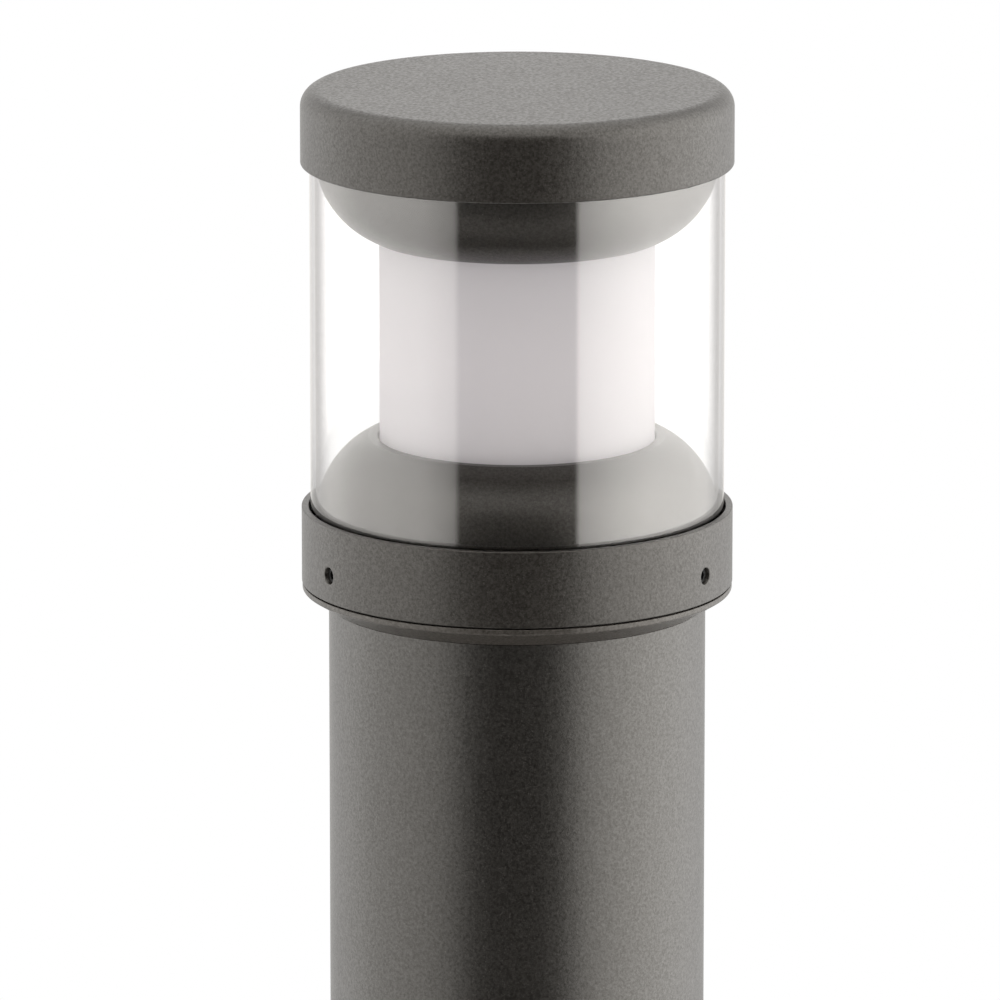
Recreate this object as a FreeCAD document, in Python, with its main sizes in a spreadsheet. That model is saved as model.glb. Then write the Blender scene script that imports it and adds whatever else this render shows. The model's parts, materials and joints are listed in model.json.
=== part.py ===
import FreeCAD, Part
import math
import os
import re

import Sketcher

# A round bollard light: a tube post on a bolted foot, and a lift-off lantern head.
# The axis of the post is Z, the ground is at zero height, and the front faces -Y.
# All sizes are in millimetres.

SIZES = {
    # overall
    "total_height": 1000,
    "head_radius": 80,
    "cap_height": 28,
    "window_height": 129,
    "collar_height": 28.5,
    "post_radius": 70,
    "post_wall": 4,
    # clearances
    "press_gap": 0.1,
    "lift_gap": 0.4,
    "screw_gap": 0.1,
    # foot
    "foot_thickness": 12,
    "foot_edge_round": 3,
    "foot_bore": 45,
    "foot_wall": 8,
    "foot_spigot_height": 50,
    "foot_screw_rise": 25,
    "anchor_offset": 15,
    "anchor_margin": 15,
    "anchor_hole": 6.5,
    "anchor_count": 4,
    # neck casting between post and collar
    "neck_inset": 0.2,
    "neck_edge_height": 2.6,
    "neck_edge_round": 0.8,
    "neck_cone_height": 6,
    "neck_wall": 5,
    "neck_depth": 40,
    "neck_deck": 4,
    "spigot_wall": 7,
    "wire_hole": 7,
    # sealing ring in the neck spigot
    "ring_section": 1.5,
    "ring_rise": 4,
    "ring_groove_play": 0.2,
    # collar and cap rims
    "rim_wall": 2.7,
    "rim_round": 0.6,
    "rim_inner_round": 0.4,
    "collar_seat_depth": 10,
    "collar_wall": 9.4,
    "web_thickness": 4,
    "web_margin": 5,
    "cap_round": 6.2,
    "cap_plate": 6,
    "cap_seat_depth": 12,
    "cap_land": 15.3,
    "boss_radius": 6,
    "boss_length": 18,
    # clear tube, opal tube and their gaskets
    "tube_gap": 0.6,
    "tube_wall": 2,
    "gasket_thickness": 2,
    "gasket_width": 5.4,
    "opal_radius": 51,
    "opal_wall": 3,
    "opal_seal": 1,
    "opal_gap": 0.6,
    "opal_seat_depth": 6,
    "opal_seat_width": 5,
    # domes above and below the opal tube
    "dome_wall": 2,
    "dome_gap": 0.4,
    "dome_curve": 33,
    "dome_toe_share": 0.34335,
    "dome_nose_round": 0.9,
    "upper_nose_width": 2,
    "upper_nose_drop": 27.5,
    "upper_rim_drop": 1,
    "lower_nose_width": 3.6,
    "lower_nose_rise": 26.3,
    "lower_rim_rise": 0.8,
    # tie rods that clamp the head together
    "tie_margin": 4,
    "tie_radius": 2.5,
    "tie_hole": 2.75,
    "tie_tail": 3,
    "tie_engagement": 14,
    "tie_count": 3,
    "nut_flats": 8,
    "nut_height": 4,
    "washer_radius": 5,
    "washer_thickness": 1,
    # collar set screws
    "set_screw_drop": 18.25,
    "set_screw_radius": 3,
    "set_screw_length": 8,
    "set_screw_point": 1,
    "set_screw_tip_gap": 0.3,
    "set_screw_flats": 3,
    "set_screw_socket": 3.5,
    "set_screw_count": 3,
    # foot screws
    "foot_screw_radius": 3,
    "foot_screw_length": 14,
    "foot_screw_clearance": 0.3,
    "foot_screw_head": 5.25,
    "foot_screw_head_height": 3.3,
    "foot_screw_head_rim": 1.1,
    "foot_screw_head_flat": 3,
    "foot_screw_flats": 4,
    "foot_screw_socket": 2,
    "foot_screw_count": 3,
    # lampholder
    "holder_base_radius": 30,
    "holder_base_height": 6,
    "holder_radius": 20,
    "holder_height": 48,
    "holder_bore": 13.8,
    "holder_bore_depth": 32,
    "holder_wire_bore": 6,
    "holder_wire_depth": 4,
    "holder_screw_circle": 25,
    "contact_radius": 5,
    "contact_thickness": 2,
    # lamp
    "lamp_gap": 0.3,
    "lamp_cap_radius": 13.2,
    "lamp_cap_foot": 9,
    "lamp_pin_radius": 4.5,
    "lamp_pin_height": 2.5,
    "lamp_body_radius": 15,
    "lamp_body_height": 30,
    "lamp_shoulder_radius": 24,
    "lamp_globe_radius": 30,
    # small machine screws
    "screw_radius": 2,
    "screw_head_radius": 3.5,
    "screw_head_height": 2.5,
    "screw_length": 8,
    "clamp_screw_length": 16,
    # gear tray and what it carries
    "tray_face": 12,
    "tray_sheet": 2,
    "tray_width": 70,
    "tray_drop": 150,
    "tray_tab": 26,
    "tray_screw_spread": 26,
    "terminal_drop": 100,
    "terminal_width": 44,
    "terminal_depth": 16,
    "terminal_height": 22,
    "terminal_pitch": 14,
    "terminal_wire_bore": 2,
    "terminal_screw_bore": 2.2,
    "terminal_screw_depth": 8,
    "terminal_screw_length": 6,
    "terminal_screw_margin": 5,
    "clamp_drop": 140,
    "clamp_width": 40,
    "clamp_depth": 10,
    "clamp_height": 12,
    "clamp_screw_spread": 14,
    "cable_radius": 5,
    "earth_offset": 24,
    "earth_drop": 62,
    "earth_lug_radius": 5,
    "earth_lug_thickness": 1,
    # internal leads
    "lead_radius": 1.2,
    "lead_spread": 3,
    "lead_bend": 12,
    "lead_run": 16,
}

# Heights above the ground and radii that several pieces share.
SHARED = {
    "cap_bottom": "total_height - cap_height",
    "cap_seat": "cap_bottom + cap_seat_depth",
    "cap_ceiling": "total_height - cap_plate",
    "collar_top": "cap_bottom - window_height",
    "collar_seat": "collar_top - collar_seat_depth",
    "web_bottom": "collar_seat - web_thickness",
    "collar_bottom": "collar_top - collar_height",
    "neck_cone_top": "collar_bottom - neck_edge_height",
    "post_top": "neck_cone_top - neck_cone_height",
    "deck_top": "post_top + neck_deck",
    "spigot_top": "web_bottom - lift_gap",
    "collar_bore": "head_radius - collar_wall",
    "spigot_radius": "collar_bore - lift_gap",
    "ring_level": "collar_bottom + ring_rise",
    "fit_radius": "post_radius - post_wall - press_gap",
    "anchor_circle": "post_radius + anchor_offset",
    "foot_radius": "anchor_circle + anchor_margin",
    "rim_bore": "head_radius - rim_wall",
    "tube_radius": "rim_bore - tube_gap",
    "cap_recess": "rim_bore - cap_land",
    "lip_bore": "opal_radius + opal_gap",
    "flange_bore": "opal_radius - opal_seat_width",
    "upper_nose_radius": "lip_bore + upper_nose_width",
    "lower_nose_radius": "lip_bore + lower_nose_width",
    "tie_circle": "flange_bore - tie_margin",
    "web_bore": "tie_circle - web_margin",
    "tube_bottom": "collar_seat + gasket_thickness",
    "tube_top": "cap_seat - gasket_thickness",
    "dome_radius": "tube_radius - tube_wall - dome_gap",
    "dome_toe": "(dome_radius - opal_radius) * dome_toe_share",
    "upper_nose": "cap_bottom - upper_nose_drop",
    "upper_seat": "upper_nose + opal_seat_depth",
    "lower_nose": "collar_top + lower_nose_rise",
    "lower_seat": "lower_nose - opal_seat_depth",
    "opal_bottom": "lower_seat + opal_seal",
    "opal_top": "upper_seat - opal_seal",
    "boss_bottom": "cap_ceiling - boss_length",
    "set_screw_level": "collar_top - set_screw_drop",
    "foot_screw_level": "foot_thickness + foot_screw_rise",
    "holder_top": "deck_top + holder_height",
    "contact_top": "holder_top - holder_bore_depth + contact_thickness",
    "lamp_pin_bottom": "contact_top + lamp_gap",
    "lamp_cap_bottom": "lamp_pin_bottom + lamp_pin_height",
    "lamp_body_bottom": "holder_top + lamp_gap",
    "lamp_body_top": "lamp_body_bottom + lamp_body_height",
    "terminal_bottom": "post_top - terminal_drop",
    "terminal_top": "terminal_bottom + terminal_height",
    "terminal_front": "tray_face - terminal_depth",
    "wire_line": "terminal_front + terminal_screw_depth + terminal_wire_bore",
    "clamp_bottom": "post_top - clamp_drop",
    "earth_level": "post_top - earth_drop",
}

FUNCTIONS = ("cos", "sin")

document = FreeCAD.newDocument("bollard_light")
sheet = document.addObject("Spreadsheet::Sheet", "Sizes")
for row, (alias, size) in enumerate(SIZES.items(), 1):
    sheet.set(f"A{row}", alias)
    sheet.set(f"B{row}", str(size))
    sheet.setAlias(f"B{row}", alias)
document.recompute()

nodes = []


# ---- formulas on the sheet ----

def bound(formula):
    """Spell a formula of size names out as an expression on the sheet."""
    def spell(match):
        word = match.group(0)
        if word in FUNCTIONS:
            return word
        if word in SHARED:
            return f"({bound(SHARED[word])})"
        return f"Sizes.{word}"
    return re.sub(r"[a-z][a-z_]*", spell, str(formula))


def value(formula):
    """Work a formula out as a number."""
    return float(sheet.evalExpression(bound(formula)))


# ---- bodies and sketches ----

def new_body(label):
    """Start a sub-part that is made of sketches and features."""
    body = document.addObject("PartDesign::Body", label)
    body.Label = label
    nodes.append(body)
    return body


def origin_feature(body, role):
    """Find one of the body's own origin planes or axes."""
    return next(item for item in body.Origin.OriginFeatures if item.Role == role)


def new_sketch(body, name, plane, offset=None):
    """Lay a sketch on one of the body's origin planes, moved along its normal by offset."""
    sketch = body.newObject("Sketcher::SketchObject", name)
    sketch.AttachmentSupport = [(origin_feature(body, plane), "")]
    sketch.MapMode = "FlatFace"
    if offset is not None:
        sketch.setExpression("AttachmentOffset.Base.z", bound(offset))
    return sketch


def pin_point(sketch, geometry, point, across, up):
    """Hold a point of the sketch at two formulas measured from the origin."""
    for kind, axis, formula in (("DistanceX", -2, across), ("DistanceY", -1, up)):
        if formula == 0:
            sketch.addConstraint(Sketcher.Constraint("PointOnObject", geometry, point, axis))
            continue
        constraint = Sketcher.Constraint(kind, -1, 1, geometry, point, value(formula))
        index = sketch.addConstraint(constraint)
        sketch.setExpression(f"Constraints[{index}]", bound(formula))


def pin_radius(sketch, geometry, formula):
    """Hold the radius of a circle or an arc at a formula."""
    index = sketch.addConstraint(Sketcher.Constraint("Radius", geometry, value(formula)))
    sketch.setExpression(f"Constraints[{index}]", bound(formula))


def arc_between(first, second, radius):
    """Make the arc between two points whose centre lies on the axis side of them."""
    chord = second - first
    across = FreeCAD.Vector(-chord.y, chord.x, 0).normalize()
    if across.x > 0:
        across = -across
    centre = (first + second) * 0.5 + across * math.sqrt(radius ** 2 - chord.Length ** 2 / 4)
    start, end = [math.atan2(p.y - centre.y, p.x - centre.x) for p in (first, second)]
    forward = (end - start) % (2 * math.pi) < math.pi
    if not forward:
        start, end = end, start
    circle = Part.Circle(centre, FreeCAD.Vector(0, 0, 1), radius)
    return Part.ArcOfCircle(circle, start, end), forward


def draw_outline(sketch, corners, arcs=None):
    """Draw a closed outline through corners; arcs gives the radius of each round side."""
    arcs = arcs or {}
    points = [FreeCAD.Vector(value(across), value(up), 0) for across, up in corners]
    ends = []
    for index, point in enumerate(points):
        following = points[(index + 1) % len(points)]
        if index in arcs:
            side, forward = arc_between(point, following, value(arcs[index]))
        else:
            side, forward = Part.LineSegment(point, following), True
        sketch.addGeometry(side)
        ends.append((1, 2) if forward else (2, 1))
    for index, (across, up) in enumerate(corners):
        following = (index + 1) % len(corners)
        joint = Sketcher.Constraint("Coincident", index, ends[index][1], following, ends[following][0])
        sketch.addConstraint(joint)
        pin_point(sketch, index, ends[index][0], across, up)
    for index, radius in arcs.items():
        pin_radius(sketch, index, radius)


def draw_circle(sketch, across, up, radius):
    """Draw one circle."""
    centre = FreeCAD.Vector(value(across), value(up), 0)
    index = sketch.addGeometry(Part.Circle(centre, FreeCAD.Vector(0, 0, 1), value(radius)))
    pin_point(sketch, index, 3, across, up)
    pin_radius(sketch, index, radius)


def draw_hexagon(sketch, across, up, flats):
    """Draw a hexagon of the given width across its flats, with two upright sides."""
    centre = FreeCAD.Vector(value(across), value(up), 0)
    corner_radius = f"{flats} / (2 * cos(30))"
    reach = value(corner_radius)
    corners = []
    for turn in range(30, 390, 60):
        angle = math.radians(turn)
        corners.append(centre + FreeCAD.Vector(math.cos(angle), math.sin(angle), 0) * reach)
    for index, corner in enumerate(corners):
        sketch.addGeometry(Part.LineSegment(corner, corners[(index + 1) % 6]))
    guide = sketch.addGeometry(Part.Circle(centre, FreeCAD.Vector(0, 0, 1), reach), True)
    for index in range(6):
        sketch.addConstraint(Sketcher.Constraint("Coincident", index, 2, (index + 1) % 6, 1))
        sketch.addConstraint(Sketcher.Constraint("PointOnObject", index, 1, guide))
    for index in range(1, 6):
        sketch.addConstraint(Sketcher.Constraint("Equal", 0, index))
    sketch.addConstraint(Sketcher.Constraint("Vertical", 5))
    pin_point(sketch, guide, 3, across, up)
    pin_radius(sketch, guide, corner_radius)


# ---- features ----

def revolve(body, name, corners, arcs=None):
    """Turn an outline of (radius, height) corners about the Z axis."""
    sketch = new_sketch(body, f"{name}_outline", "XZ_Plane")
    draw_outline(sketch, corners, arcs)
    feature = body.newObject("PartDesign::Revolution", name)
    feature.Profile = sketch
    feature.ReferenceAxis = (sketch, ["V_Axis"])
    feature.Angle = 360
    document.recompute()
    return feature


def pad(body, name, sketch, length):
    """Raise a sketch along its normal."""
    feature = body.newObject("PartDesign::Pad", name)
    feature.Profile = sketch
    feature.setExpression("Length", bound(length))
    document.recompute()
    return feature


def cut(body, name, sketch, depth=None, along_normal=True):
    """Cut a sketch away, through everything on one side or to a depth."""
    volume = body.Shape.Volume
    feature = body.newObject("PartDesign::Pocket", name)
    feature.Profile = sketch
    feature.Reversed = along_normal
    if depth is None:
        feature.Type = "ThroughAll"
    else:
        feature.Type = "Length"
        feature.setExpression("Length", bound(depth))
    document.recompute()
    if body.Shape.Volume > volume - 1e-3:
        raise ValueError(f"{body.Label}: {name} cuts nothing")
    return feature


def pattern(body, name, features, count):
    """Repeat features evenly round the Z axis."""
    feature = body.newObject("PartDesign::PolarPattern", name)
    feature.Originals = features
    feature.Axis = (origin_feature(body, "Z_Axis"), [""])
    feature.Angle = 360
    feature.setExpression("Occurrences", bound(count))
    body.Tip = feature
    document.recompute()
    return feature


def round_rims(body, name, base, radius, rims):
    """Fillet the rims of a turned feature, each found by its radius and height."""
    wanted = [(value(across), value(up)) for across, up in rims]
    names = []
    for number, edge in enumerate(base.Shape.Edges, 1):
        if not isinstance(edge.Curve, Part.Circle):
            continue
        for across, up in wanted:
            near = abs(edge.Curve.Radius - across) < 1e-3 and abs(edge.Curve.Center.z - up) < 1e-3
            if near:
                names.append(f"Edge{number}")
    if len(names) != len(rims):
        raise ValueError(f"{body.Label}: {name} found {len(names)} of {len(rims)} rims")
    feature = body.newObject("PartDesign::Fillet", name)
    feature.Base = (base, names)
    feature.setExpression("Radius", bound(radius))
    document.recompute()
    return feature


def ring(label, inner, outer, bottom, top):
    """Make a plain ring or tube about the Z axis."""
    body = new_body(label)
    revolve(body, f"{label}_turned", [(inner, bottom), (outer, bottom), (outer, top), (inner, top)])
    return body


def upright_holes(body, name, circle, radius, count):
    """Drill a ring of upright holes through everything above the ground."""
    sketch = new_sketch(body, f"{name}_circle", "XY_Plane")
    draw_circle(sketch, 0, circle, radius)
    hole = cut(body, f"{name}_first", sketch)
    pattern(body, name, [hole], count)


def radial_holes(body, name, level, radius, count):
    """Drill a ring of level holes outwards from the axis."""
    sketch = new_sketch(body, f"{name}_circle", "XZ_Plane")
    draw_circle(sketch, 0, level, radius)
    hole = cut(body, f"{name}_first", sketch, along_normal=False)
    pattern(body, name, [hole], count)


def radial_screw(body, name, level, corners, end, flats, socket):
    """Turn a screw about a level line towards +Y and sink a hexagon socket in its outer end."""
    sketch = new_sketch(body, f"{name}_outline", "YZ_Plane")
    draw_outline(sketch, corners)
    line = Part.LineSegment(
        FreeCAD.Vector(0, value(level), 0), FreeCAD.Vector(value("post_radius"), value(level), 0)
    )
    axis = sketch.addGeometry(line, True)
    sketch.addConstraint(Sketcher.Constraint("Horizontal", axis))
    pin_point(sketch, axis, 1, 0, level)
    turned = body.newObject("PartDesign::Revolution", f"{name}_turned")
    turned.Profile = sketch
    turned.ReferenceAxis = (sketch, ["Axis0"])
    turned.Angle = 360
    document.recompute()
    socket_sketch = new_sketch(body, f"{name}_socket_outline", "XZ_Plane", f"-({end})")
    draw_hexagon(socket_sketch, 0, level, flats)
    pocket = cut(body, f"{name}_socket", socket_sketch, socket)
    return turned, pocket


# ---- primitives ----

def primitive(kind, name, place, turn=None, **formulas):
    """Add a Part primitive with its sizes and its place bound to the sheet."""
    item = document.addObject(f"Part::{kind}", name)
    if turn is not None:
        item.Placement = FreeCAD.Placement(FreeCAD.Vector(), turn)
    for size_name, formula in formulas.items():
        item.setExpression(size_name, bound(formula))
    for letter, formula in zip("xyz", place):
        item.setExpression(f"Placement.Base.{letter}", bound(formula))
    return item


def join(kind, name, items):
    """Put primitives together as a Part::MultiFuse or a Part::Compound."""
    item = document.addObject(f"Part::{kind}", name)
    if kind == "Compound":
        item.Links = items
    else:
        item.Shapes = items
    return item


def part_cut(name, base, tools):
    """Cut primitives away from a base."""
    item = document.addObject("Part::Cut", name)
    item.Base = base
    item.Tool = join("Compound", f"{name}_tools", tools)
    return item


def finished(item, label):
    """Record a Part object as a sub-part."""
    item.Label = label
    nodes.append(item)
    document.recompute()
    return item


TO_FRONT = FreeCAD.Rotation(FreeCAD.Vector(1, 0, 0), 90)


# ---- the post side ----

def make_foot():
    body = new_body("base_flange")
    turned = revolve(body, "foot_turned", [
        ("foot_bore", 0),
        ("foot_radius", 0),
        ("foot_radius", "foot_thickness"),
        ("foot_bore", "foot_thickness"),
    ])
    round_rims(body, "foot_rounded", turned, "foot_edge_round", [("foot_radius", "foot_thickness")])
    upright_holes(body, "anchor_holes", "anchor_circle", "anchor_hole", "anchor_count")


def make_foot_spigot():
    body = ring("foot_spigot", "fit_radius - foot_wall", "fit_radius", "foot_thickness",
                "foot_thickness + foot_spigot_height")
    radial_holes(body, "foot_tapped_holes", "foot_screw_level", "foot_screw_radius + screw_gap",
                 "foot_screw_count")


def make_post():
    body = ring("post_tube", "post_radius - post_wall", "post_radius", "foot_thickness", "post_top")
    radial_holes(body, "post_screw_holes", "foot_screw_level",
                 "foot_screw_radius + foot_screw_clearance", "foot_screw_count")


def make_foot_screws():
    body = new_body("foot_screws")
    seat = "(post_radius + screw_gap)"
    level = "foot_screw_level"
    corners = [
        (f"{seat} - foot_screw_length", level),
        (f"{seat} + foot_screw_head_height", level),
        (f"{seat} + foot_screw_head_height", f"{level} + foot_screw_head_flat"),
        (f"{seat} + foot_screw_head_rim", f"{level} + foot_screw_head"),
        (seat, f"{level} + foot_screw_head"),
        (seat, f"{level} + foot_screw_radius"),
        (f"{seat} - foot_screw_length", f"{level} + foot_screw_radius"),
    ]
    features = radial_screw(body, "foot_screw", level, corners, f"{seat} + foot_screw_head_height",
                            "foot_screw_flats", "foot_screw_socket")
    pattern(body, "foot_screw_ring", list(features), "foot_screw_count")


def make_neck():
    body = new_body("neck_casting")
    groove_floor = "spigot_radius + screw_gap - 2 * ring_section - ring_groove_play"
    groove_half = "(ring_section + ring_groove_play)"
    turned = revolve(body, "neck_turned", [
        (0, "deck_top"),
        ("spigot_radius - spigot_wall", "deck_top"),
        ("spigot_radius - spigot_wall", "spigot_top"),
        ("spigot_radius", "spigot_top"),
        ("spigot_radius", f"ring_level + {groove_half}"),
        (groove_floor, f"ring_level + {groove_half}"),
        (groove_floor, f"ring_level - {groove_half}"),
        ("spigot_radius", f"ring_level - {groove_half}"),
        ("spigot_radius", "collar_bottom"),
        ("head_radius - neck_inset", "collar_bottom"),
        ("head_radius - neck_inset", "neck_cone_top"),
        ("post_radius", "post_top"),
        ("fit_radius", "post_top"),
        ("fit_radius", "post_top - neck_depth"),
        ("fit_radius - neck_wall", "post_top - neck_depth"),
        ("fit_radius - neck_wall", "post_top"),
        (0, "post_top"),
    ])
    rims = [("head_radius - neck_inset", "neck_cone_top"), ("head_radius - neck_inset", "collar_bottom")]
    round_rims(body, "neck_rounded", turned, "neck_edge_round", rims)
    holes = new_sketch(body, "deck_holes_outline", "XY_Plane")
    draw_circle(holes, 0, 0, "wire_hole")
    for side in ("-", ""):
        draw_circle(holes, f"{side}tray_screw_spread", "tray_face - tray_tab / 2",
                    "screw_radius + screw_gap")
        draw_circle(holes, 0, f"{side}holder_screw_circle", "screw_radius + screw_gap")
    cut(body, "deck_holes", holes)


def make_sealing_ring():
    ring_centre = "spigot_radius + screw_gap - ring_section"
    torus = primitive("Torus", "sealing_ring_torus", (0, 0, "ring_level"),
                      Radius1=ring_centre, Radius2="ring_section")
    finished(torus, "neck_sealing_ring")


def make_lampholder():
    body = new_body("lampholder")
    turned = revolve(body, "holder_turned", [
        ("holder_wire_bore", "deck_top"),
        ("holder_base_radius", "deck_top"),
        ("holder_base_radius", "deck_top + holder_base_height"),
        ("holder_radius", "deck_top + holder_base_height"),
        ("holder_radius", "holder_top"),
        ("holder_bore", "holder_top"),
        ("holder_bore", "holder_top - holder_bore_depth"),
        (0, "holder_top - holder_bore_depth"),
        (0, "deck_top + holder_wire_depth"),
        ("holder_wire_bore", "deck_top + holder_wire_depth"),
    ])
    rims = [("holder_base_radius", "deck_top + holder_base_height"), ("holder_radius", "holder_top")]
    round_rims(body, "holder_rounded", turned, "rim_round", rims)
    holes = new_sketch(body, "holder_screw_holes_outline", "XY_Plane")
    for side in ("-", ""):
        draw_circle(holes, 0, f"{side}holder_screw_circle", "screw_radius + screw_gap")
    cut(body, "holder_screw_holes", holes)
    ring("lampholder_contact", 0, "contact_radius", "contact_top - contact_thickness", "contact_top")


def make_upright_screws(label, places, seat, head_above, length):
    """Make an upright screw at each (across, along) place, seated under its head."""
    screws = []
    head_start = seat if head_above else f"{seat} - screw_head_height"
    shank_start = f"{seat} - {length}" if head_above else seat
    for number, place in enumerate(places):
        shank = primitive("Cylinder", f"{label}_shank_{number}", (*place, shank_start),
                          Radius="screw_radius", Height=length)
        head = primitive("Cylinder", f"{label}_head_{number}", (*place, head_start),
                         Radius="screw_head_radius", Height="screw_head_height")
        screws.append(join("MultiFuse", f"{label}_{number}", [shank, head]))
    finished(join("Compound", f"{label}_pair", screws), label)


def make_tray():
    leaf = primitive("Box", "tray_leaf", ("-tray_width / 2", "tray_face", "post_top - tray_drop"),
                     Length="tray_width", Width="tray_sheet", Height="tray_drop")
    tab = primitive("Box", "tray_tab_box", ("-tray_width / 2", "tray_face - tray_tab", "post_top - tray_sheet"),
                    Length="tray_width", Width="tray_tab", Height="tray_sheet")
    sheet_metal = join("MultiFuse", "tray_bent", [leaf, tab])
    tools = [primitive("Cylinder", "tray_wire_slot", (0, 0, "post_top - 2 * tray_sheet"),
                       Radius="wire_hole", Height="3 * tray_sheet")]
    for number, side in enumerate(("-", "")):
        place = (f"{side}tray_screw_spread", "tray_face - tray_tab / 2", "post_top - 2 * tray_sheet")
        tools.append(primitive("Cylinder", f"tray_tab_hole_{number}", place,
                               Radius="screw_radius + screw_gap", Height="3 * tray_sheet"))
        place = (f"{side}clamp_screw_spread", "tray_face + 2 * tray_sheet", "clamp_bottom + clamp_height / 2")
        tools.append(primitive("Cylinder", f"tray_clamp_hole_{number}", place, TO_FRONT,
                               Radius="screw_radius + screw_gap", Height="3 * tray_sheet"))
    tools.append(primitive("Cylinder", "tray_earth_hole", ("earth_offset", "tray_face + 2 * tray_sheet",
                                                           "earth_level"), TO_FRONT,
                           Radius="tie_radius + screw_gap", Height="3 * tray_sheet"))
    finished(part_cut("tray_drilled", sheet_metal, tools), "gear_tray")


def make_terminal_block():
    block = primitive("Box", "terminal_box", ("-terminal_width / 2", "terminal_front", "terminal_bottom"),
                      Length="terminal_width", Width="terminal_depth", Height="terminal_height")
    tools = []
    screws = []
    for pole in (-1, 0, 1):
        across = f"{pole} * terminal_pitch"
        tools.append(primitive("Cylinder", f"terminal_wire_bore_{pole + 1}",
                               (across, "wire_line", "terminal_bottom"),
                               Radius="terminal_wire_bore", Height="terminal_height"))
        levels = ("terminal_bottom + terminal_screw_margin", "terminal_top - terminal_screw_margin")
        for number, level in enumerate(levels):
            place = (across, "terminal_front + terminal_screw_depth", level)
            tools.append(primitive("Cylinder", f"terminal_screw_bore_{pole + 1}_{number}", place, TO_FRONT,
                                   Radius="terminal_screw_bore", Height="terminal_screw_depth"))
            screws.append(primitive("Cylinder", f"terminal_screw_{pole + 1}_{number}", place, TO_FRONT,
                                    Radius="terminal_screw_bore - screw_gap",
                                    Height="terminal_screw_length"))
    finished(part_cut("terminal_bored", block, tools), "terminal_block")
    finished(join("Compound", "terminal_screw_set", screws), "terminal_screws")


def make_cable_clamp():
    saddle = primitive("Box", "clamp_box", ("-clamp_width / 2", "tray_face - clamp_depth", "clamp_bottom"),
                       Length="clamp_width", Width="clamp_depth", Height="clamp_height")
    tools = [primitive("Cylinder", "clamp_notch", (0, "tray_face", "clamp_bottom"),
                       Radius="cable_radius", Height="clamp_height")]
    screws = []
    for number, side in enumerate(("-", "")):
        across = f"{side}clamp_screw_spread"
        level = "clamp_bottom + clamp_height / 2"
        tools.append(primitive("Cylinder", f"clamp_hole_{number}", (across, "tray_face", level), TO_FRONT,
                               Radius="screw_radius + screw_gap", Height="clamp_depth"))
        shank_start = "tray_face - clamp_depth + clamp_screw_length"
        shank = primitive("Cylinder", f"clamp_shank_{number}", (across, shank_start, level), TO_FRONT,
                          Radius="screw_radius", Height="clamp_screw_length")
        head = primitive("Cylinder", f"clamp_head_{number}", (across, "tray_face - clamp_depth", level),
                         TO_FRONT, Radius="screw_head_radius", Height="screw_head_height")
        screws.append(join("MultiFuse", f"clamp_screw_{number}", [shank, head]))
    finished(part_cut("clamp_drilled", saddle, tools), "cable_clamp")
    finished(join("Compound", "clamp_screw_pair", screws), "cable_clamp_screws")


def make_earth_point():
    across, level = "earth_offset", "earth_level"
    head_back = "tray_face - earth_lug_thickness"
    lug = primitive("Cylinder", "earth_lug_disc", (across, "tray_face", level), TO_FRONT,
                    Radius="earth_lug_radius", Height="earth_lug_thickness")
    lug_hole = primitive("Cylinder", "earth_lug_hole", (across, "tray_face", level), TO_FRONT,
                         Radius="tie_radius + screw_gap", Height="earth_lug_thickness")
    finished(part_cut("earth_lug_bored", lug, [lug_hole]), "earth_lug")
    head = primitive("Prism", "earth_head", (across, head_back, level), TO_FRONT,
                     Circumradius="nut_flats / (2 * cos(30))", Height="nut_height")
    shank = primitive("Cylinder", "earth_shank", (across, "tray_face + tray_sheet + nut_height + tie_tail",
                                                  level), TO_FRONT, Radius="tie_radius",
                      Height="tray_sheet + nut_height + tie_tail + earth_lug_thickness")
    finished(join("MultiFuse", "earth_bolt_joined", [head, shank]), "earth_bolt")
    nut_start = (across, "tray_face + tray_sheet + nut_height", level)
    nut = primitive("Prism", "earth_nut_prism", nut_start, TO_FRONT,
                    Circumradius="nut_flats / (2 * cos(30))", Height="nut_height")
    nut_hole = primitive("Cylinder", "earth_nut_hole", nut_start, TO_FRONT,
                         Radius="tie_radius + screw_gap", Height="nut_height")
    finished(part_cut("earth_nut_bored", nut, [nut_hole]), "earth_nut")


def rounded_path(points, bend):
    """Join points by straight runs with a tangent arc of radius bend at each inner point."""
    edges = []
    start = points[0]
    for before, corner, after in zip(points, points[1:], points[2:]):
        arriving = (corner - before).normalize()
        leaving = (after - corner).normalize()
        half_turn = arriving.getAngle(leaving) / 2
        setback = bend * math.tan(half_turn)
        first, last = corner - arriving * setback, corner + leaving * setback
        inward = (leaving - arriving).normalize()
        middle = corner + inward * (bend / math.cos(half_turn) - bend)
        edges.append(Part.LineSegment(start, first).toShape())
        edges.append(Part.Arc(first, middle, last).toShape())
        start = last
    edges.append(Part.LineSegment(start, points[-1]).toShape())
    return Part.Wire(edges)


def lead(routes, label, bend):
    """Sweep one round lead along each route of (across, along, up) formulas."""
    radius = value("lead_radius")
    solids = []
    for route in routes:
        points = [FreeCAD.Vector(*[value(formula) for formula in point]) for point in route]
        path = rounded_path(points, value(bend))
        circle = Part.Circle(points[0], points[1] - points[0], radius).toShape()
        solid = path.makePipeShell([Part.Wire(circle)], True, True)
        expected = math.pi * radius ** 2 * path.Length
        if abs(solid.Volume - expected) > expected / 100:
            raise ValueError(f"{label}: the swept volume is wrong")
        solids.append(solid)
    feature = document.addObject("Part::Feature", label)
    feature.Shape = Part.makeCompound(solids)
    finished(feature, label)


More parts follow.
